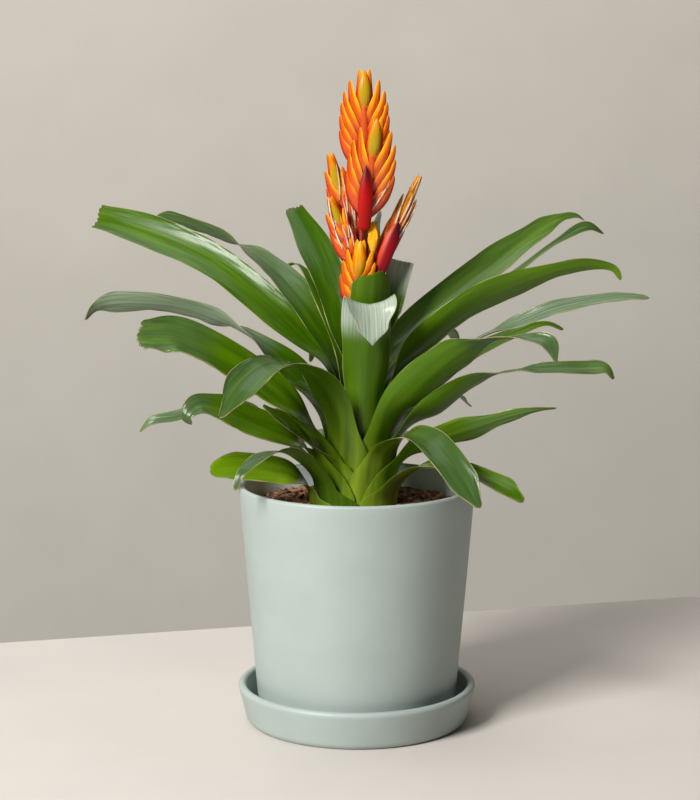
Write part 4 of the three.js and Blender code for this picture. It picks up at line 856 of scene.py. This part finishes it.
# Folded bracts. Each follows a cubic Bezier line in the spike's own plane: it leaves the axis, spreads and
# turns up at its tip. Its sheet is folded round the keel, so that its two flanks stand in front of and
# behind the ones that it wraps: in-plane place = line + outward * width * (0.5 - fold ** 1.3), depth =
# half depth * (1 - (1 - fold) ** 2.5). Both narrow to a point at the tip.
def foldedBracts(controls, outward, width, depth, tall, front):
    outward, width, front = (v[:, None, None] for v in (outward, width, front))
    t = np.linspace(0, 1, bractShape["rows"])[None, :, None]
    p0, p1, p2, p3 = (controls[:, k][:, None] for k in range(4))
    line = (1 - t) ** 3 * p0 + 3 * t * (1 - t) ** 2 * p1 + 3 * t * t * (1 - t) * p2 + t ** 3 * p3
    along = unit(np.gradient(line, axis=1))
    out = np.stack([along[..., 1], -along[..., 0]], axis=-1) * outward
    t = t[..., 0]
    taper = (1 - 0.5 * smooth(t, 0.42, 0.86)) * (1 - np.clip((t - 0.76) / 0.24, 0, 1) ** 2) ** 0.7
    swell = (0.75 + 0.25 * smooth(t, 0, 0.36)) * taper + 0.01
    v = sheetPlaces(bractShape["columns"])[None, None]
    fold = np.abs(v) + 0 * swell[..., None]
    flank = width * swell[..., None] * (0.5 - fold ** 1.3)
    half = depth[:, None] * (0.35 + 0.65 * smooth(t, 0, 0.3)) * (1 - 0.75 * smooth(t, 0.45, 1.0))
    half = half * taper ** 0.5
    opened = (1 - (1 - fold) ** 2.5) * (half[..., None] + 0.05) * np.sign(v) - front
    plane = line[:, :, None] + out[:, :, None] * flank[..., None]
    outer = np.stack([plane[..., 0], opened, plane[..., 1]], axis=-1)
    skin = np.minimum(bractShape["skin"], 0.5 * (half + 0.05))[..., None] * (1 - 0.5 * fold ** 4)
    shift = out[:, :, None] * ((1 - fold) * skin)[..., None]
    inner = np.stack([plane[..., 0] - shift[..., 0],
                      opened - np.sign(v) * skin * np.minimum(1, 2.5 * fold) * 0.9,
                      plane[..., 1] - shift[..., 1]], axis=-1)
    ring = np.concatenate([outer, inner[:, :, ::-1]], axis=2)
    fold = np.broadcast_to(np.concatenate([fold, fold[:, :, ::-1]], axis=2), ring.shape[:3])
    share = t[..., None] + 0 * fold
    return ring, {"share": share, "fold": fold, "heart": 0 * fold, "acrossMm": fold * width,
                  "alongMm": share * tall}


# control points of the bract of one rank on one side of a spike, as [across, up] in the spike's plane
def bractControls(spike, rank, side):
    t = (rank + 1) / spike["ranks"]
    height = spike["length"] * (0.15 + 0.85 * t ** 0.75)
    reach = side * spike["spread"] * max((1 - t ** 3.5) ** 0.7, 0.2)
    root = max(height - spike["bract"], 2.5 * rank - 5)
    rise = height - root
    return [[side * 0.5, root], [reach * 0.54, root + 0.3 * rise], [reach * 0.96, root + 0.66 * rise],
            [reach, height]]


# Heart of a spike: an upright pointed bud, at each height an ellipse 0.68 as deep as it is wide that swells
# and narrows again.
def spikeHeart(spike):
    rows, ring = 28, 24
    width, tall = spike["heart"]
    depth, low, high = 0.68 * width, 1 - tall / spike["length"], 0.985
    t = np.linspace(0, 1, rows)[:, None]
    narrow = np.clip(1 - np.clip((t - 0.45) / 0.55, 0, 1) ** 2.2, 0, 1) ** 0.8
    swell = (0.35 + 0.65 * smooth(t, 0, 0.45)) * narrow
    turn = ringAngles(ring)[None]
    x = width / 2 * swell * np.cos(turn)
    y = depth / 2 * (swell + 0.02) * np.sin(turn) * (1 + 0.12 * np.cos(turn) ** 2)
    z = spike["length"] * (low + (high - low) * t) + 0 * turn
    points = np.stack([x, y, z], axis=-1)
    near = np.abs(np.sin(turn)) + 0 * t
    middle = smooth(near, 0.1, 0.95) * smooth(t, 0.0, 0.4) * (1 - 0.7 * smooth(t, 0.6, 1)) * spike["olive"]
    return points, {"share": 0.3 + 0.62 * t + 0 * turn, "fold": 0.12 + 0.55 * near + 0.5 * spike["gold"],
                    "heart": middle, "acrossMm": x, "alongMm": z}


# turns a spike's own plane to where it stands: nod about X, then tilt about Y, then its base
def standSpike(points, spike):
    nod, tilt = math.radians(spike["nod"]), math.radians(spike["tilt"])
    x, y, z = points[..., 0], points[..., 1], points[..., 2]
    y, z = y * math.cos(nod) - z * math.sin(nod), y * math.sin(nod) + z * math.cos(nod)
    x, z = x * math.cos(tilt) + z * math.sin(tilt), z * math.cos(tilt) - x * math.sin(tilt)
    return np.stack([x, y, z], axis=-1) + spike["base"]


# Axis of a spike, which the bracts clasp: a slim twelve-sided body from its foot to below its heart, 0.7
# as deep as it is wide, that swells from its foot and narrows to its end.
def spikeAxis(spike):
    rows, ring = 12, 12
    t = np.linspace(0, 1, rows)[:, None]
    turn = ringAngles(ring)[None]
    radius = min(3.4, 0.4 * spike["spread"]) * (0.6 + 0.4 * smooth(t, 0, 0.3)) * (1 - 0.6 * smooth(t, 0.6, 1))
    z = -5 + (0.8 * spike["length"] + 5) * t + 0 * turn
    points = np.stack([radius * np.cos(turn), 0.7 * radius * np.sin(turn), z], axis=-1)
    return points, {"share": 0.28 + 0 * z, "fold": 0.5 + 0 * z, "heart": 0 * z, "acrossMm": points[..., 0],
                    "alongMm": z}


# A spike: two rows of folded bracts, its fringes as very narrow ones, its heart and its axis in one mesh.
# The bracts get shallower and yellower from rank to rank, and each has its own width and seed.
def makeSpike(spike, material):
    draw = np.random.default_rng(bractShape["seed"] + len(spike["node"]))
    order = [(rank, side) for rank in range(spike["ranks"]) for side in (-1, 1)]
    fringes = np.array(spike["fringes"]).reshape(-1, 4)
    slips = np.linspace(0, 1, 4)[None, :, None]
    slips = fringes[:, None, :2] + (fringes[:, None, 2:] - fringes[:, None, :2]) * slips
    slips[:, 1:3, 0] += 1.2 * np.sign(slips[:, 1:3, 0])
    controls = np.concatenate([np.array([bractControls(spike, *place) for place in order], float), slips])
    count = len(controls)
    isBract = np.arange(count) < len(order)
    outward = np.array([side for rank, side in order] + list(np.sign(fringes[:, 2])), float)
    rank = np.array([rank for rank, side in order] + [spike["ranks"] - 1] * len(fringes)) / spike["ranks"]
    width = np.where(isBract, bractShape["width"] * (1 - 0.35 * spike["stringy"]), bractShape["fringe"])
    depth = np.where(isBract, bractShape["deepest"] * (1 - 0.5 * rank), bractShape["fringeDeep"])
    front = np.where(isBract, 0.0, bractShape["fringeFront"])
    paper = np.where(isBract, spike["paper"], bractShape["fringePaper"])
    width = width * draw.uniform(0.92, 1.05, count)
    ring, bracts = foldedBracts(controls, outward, width, depth, spike["bract"], front)
    rank, paper, seed = (v[:, None, None] for v in (rank, paper, draw.uniform(0, 50, count)))
    bracts |= {"share": bracts["share"] * (0.6 + 0.4 * rank), "paper": paper, "bractSeed": seed}
    parts = [(ring, bracts), spikeHeart(spike), spikeAxis(spike)]
    # the yellow share is added to each share; on spike_right it is partly painted light
    for (points, values), gold in zip(parts, (spike["gold"], spike["gold"], 0)):
        values["share"] = values["share"] + gold
        values.update({key: np.broadcast_to(value, points.shape[:-1]) for key, value in (
            {"paper": 0.0, "bractSeed": bractShape["restSeed"]} | values).items()})
    points, quads, values = joinTubes(*parts)
    values["straw"] = spike["stringy"] * smooth(values["share"], 0.5, 0.75)
    makePiece(spike["node"], "bract", material, standSpike(points, spike), quads, values)


bractWax = waxyBract()
for spike in spikes:
    makeSpike(spikeUsual | spike, bractWax)
print("bract spikes made:", len(spikes))


# Each red bract: start is its lower end on the stem, and bulge how far its middle stands out towards the
# viewer, in mm; dark goes from scarlet to crimson, stalk is the share that is still a stalk, and form says
# where it swells out (low to high), where it begins to narrow, and by what power.
redBracts = [
    dict(node="primary_bract_front", start=[4.8, -3.9, 334], tip=[6.2, -15.6, 391], width=9.6, bulge=6.0,
         dark=0.1, form=[0.2, 0.45, 0.62, 1.7], stalk=0.215),
    dict(node="primary_bract_right", start=[9.2, -2.2, 302], tip=[28.5, -2.4, 352], width=10.0, bulge=3.5,
         dark=0.8, form=[0.05, 0.65, 0.7, 2.2], stalk=0),
]
redColour = dict(red="#a80403", crimson="#7e0618", tip="#38121c", edge="#c43c08", stalk="#541810")
redShape = dict(rows=48, columns=17, skin=0.6)


# Waxy red bract, grown boat-shaped: scarlet to crimson, almost purple at the tip, with a soft highlight.
def waxyRedBract():
    material, add = startMaterial("waxyRedBract")
    read = {name: add("Attribute", attribute_name=name) for name in (
        "share", "across", "dark", "alongMm", "stalk")}
    streaks = lengthwiseNoise(add, read["across"], read["alongMm"], read["dark"], 5.0, 0.07)
    deep = add("Math", {0: add("Math", {0: streaks, 1: 0.5, 2: -0.25}, operation="MULTIPLY_ADD"),
                        1: read["dark"]}, operation="ADD", use_clamp=True)
    tip = add("MapRange", {0: read["share"], 1: 0.62, 2: 0.98, 4: 0.9}, interpolation_type="SMOOTHSTEP")
    edge = add("MapRange", {0: read["across"], 1: -0.1, 2: -0.8, 4: 1.0}, interpolation_type="SMOOTHSTEP")
    edge = add("Math", {0: edge, 1: read["dark"]})
    colour = redColour["red"]
    for part, paint in ((deep, "crimson"), (tip, "tip"), (edge, "edge"), (read["stalk"], "stalk")):
        colour = add("Mix", {0: part, 6: colour, 7: redColour[paint]})
    relief = add("Bump", {"Height": streaks, "Distance": 0.00025, "Strength": 0.5})
    return finishMaterial(material, add, {
        "Base Color": colour, "Roughness": 0.4, "Specular IOR Level": 0.2, "Normal": relief,
        "Coat Weight": 0.0, "Coat Roughness": 0.2, "Subsurface Weight": 0.04,
        "Subsurface Radius": (1.0, 0.2, 0.1), "Subsurface Scale": 0.0012})


# Boat-shaped bract: straight line from start to tip plus a sine bulge towards the viewer; at each row a
# bowed sheet, place = line + side * u * half width - forward * bow * (1 - u * u).
def makeRedBract(bract, material):
    first, tip = np.array(bract["start"], float), np.array(bract["tip"], float)
    length = np.linalg.norm(tip - first)
    t = np.linspace(0, 1, redShape["rows"])[:, None]
    line = first + (tip - first) * t
    line[:, 1] -= bract["bulge"] * np.sin(math.pi * t[:, 0])
    along = unit(np.gradient(line, axis=0))
    side = unit(np.cross(along, [0.0, -1.0, 0.0]))
    forward = np.cross(side, along)
    forward = forward * np.sign(-forward[:, 1:2])
    low, high, start, power = bract["form"]
    swell = 0.34 + 0.48 * smooth(t, low, low + 0.035) + 0.18 * smooth(t, low + 0.035, high)
    swell = swell * np.clip(1 - np.clip((t - start) / (1 - start), 0, 1) ** power, 0, 1)
    swell = swell + 0.012
    u = sheetPlaces(redShape["columns"])[None]
    bow = bract["width"] * 0.2 * swell * (1 - u * u)
    sheet = (line[:, None] + side[:, None] * (u * bract["width"] / 2 * swell)[..., None]
             + forward[:, None] * (bow - 0.6 * swell)[..., None])
    skin = (redShape["skin"] * (1 - 0.6 * u ** 4) * np.minimum(1, swell * 3))[..., None]
    ring = bothFaces(sheet, sheet - forward[:, None] * skin)
    values = {"share": t + 0 * u, "across": u * np.sign(side[0, 0]) + 0 * t, "alongMm": t * length + 0 * u,
              "dark": bract["dark"] + 0 * u, "stalk": smooth(bract["stalk"] - t, -0.015, 0.01) + 0 * u}
    values = {key: bothFaces(value + 0 * swell) for key, value in values.items()}
    makePiece(bract["node"], "red_bract", material, *joinTubes((ring, values)))


redWax = waxyRedBract()
for bract in redBracts:
    makeRedBract(bract, redWax)
print("red bracts made:", len(redBracts))


# in metres: two points of the table's back edge, how far it runs on beyond them, and how far the table
# comes forward at its left and right end; where the wall stands, its half width, its foot and its top
stage = dict(table="#c9c3bc", wall="#d3cec3", edgeLeft=[-0.2836, 0.195], edgeRight=[0.2977, 0.347],
             beyond=3, nearLeft=[1.0, -5.0], nearRight=[0, -5.0], wallPlace=1.5, wallHalf=4, wallFoot=-1.5,
             wallTop=3.5, world="#dfe2e4", worldStrength=0.05)


# painted board: an even matt tone with a very faint mottle
def paintedBoard(name, colour):
    material, add = startMaterial(name)
    place = add("TexCoord", output="Object")
    mottle = add("TexNoise", {"Vector": place, "Scale": 9.0, "Detail": 4})
    tone = add("MapRange", {0: mottle, 1: 0.3, 2: 0.7, 3: 0.97, 4: 1.02})
    shade = add("Mix", {0: 1.0, 6: colour, 7: tone}, blend_type="MULTIPLY")
    return finishMaterial(material, add, {"Base Color": shade, "Roughness": 0.75})


# flat four-cornered board through the corners in metres
def makeBoard(name, corners, material):
    mesh = bpy.data.meshes.new(name)
    mesh.from_pydata(corners, [], [range(len(corners))])
    mesh.materials.append(material)
    board = bpy.data.objects.new(name, mesh)
    bpy.context.scene.collection.objects.link(board)


# the table ends on a slanting edge behind the plant, and the wall stands well behind it
left, right = np.array(stage["edgeLeft"]), np.array(stage["edgeRight"])
run = (right - left) / np.linalg.norm(right - left) * stage["beyond"]
left, right = left - run, right + run
makeBoard("table", [(*point, 0) for point in (left + stage["nearLeft"], right + stage["nearRight"], right,
                                              left)], paintedBoard("paleTable", stage["table"]))
half, back, low, high = (stage[key] for key in ("wallHalf", "wallPlace", "wallFoot", "wallTop"))
makeBoard("wall", [(-half, back, low), (half, back, low), (half, back, high), (-half, back, high)],
          paintedBoard("warmGreyWall", stage["wall"]))


# square soft light: place and target in metres, power in watts, spread of its beam in degrees
def addLight(name, place, target, size, power, colour, spread):
    light = bpy.data.lights.new(name, "AREA")
    light.shape = "RECTANGLE"
    light.size, light.size_y = size
    light.energy = power
    light.color = linear(colour)[:3]
    lamp = bpy.data.objects.new(name, light)
    lamp.location = place
    lamp.rotation_euler = (Vector(target) - Vector(place)).to_track_quat("-Z", "Y").to_euler()
    light.spread = math.radians(spread)
    bpy.context.scene.collection.objects.link(lamp)


for lamp in (dict(name="windowLight", place=(-1.71, -2.04, 1.99), target=(0, 0, 0.2), size=(1.1, 1.1),
                  power=163, colour="#fffdfb", spread=180),
             dict(name="topLight", place=(-0.3, 0.4, 2.4), target=(0, 0.1, 0), size=(1.6, 1.6), power=6,
                  colour="#fdfeff", spread=100)):
    addLight(**lamp)

world = bpy.data.worlds.new("studio")
world.use_nodes = True
background = world.node_tree.nodes["Background"]
background.inputs["Color"].default_value = linear(stage["world"])
background.inputs["Strength"].default_value = stage["worldStrength"]
bpy.context.scene.world = world
bpy.context.scene.view_settings.view_transform = "Standard"

# the camera was fitted to the rims: place in metres, tilt down in degrees, and a focal length and a frame
# height in pixels, on a sensor height in mm
view = dict(place=(-0.0048, -1.522, 0.472), down=9.13, focal=2222, frame=800, sensor=36)
camera = bpy.data.cameras.new("camera")
camera.sensor_fit = "VERTICAL"
camera.sensor_height = view["sensor"]
camera.lens = view["focal"] * view["sensor"] / view["frame"]
cameraPiece = bpy.data.objects.new("camera", camera)
cameraPiece.location = view["place"]
cameraPiece.rotation_euler = (math.radians(90 - view["down"]), 0, 0)
bpy.context.scene.collection.objects.link(cameraPiece)
bpy.context.scene.camera = cameraPiece
print("stage set")
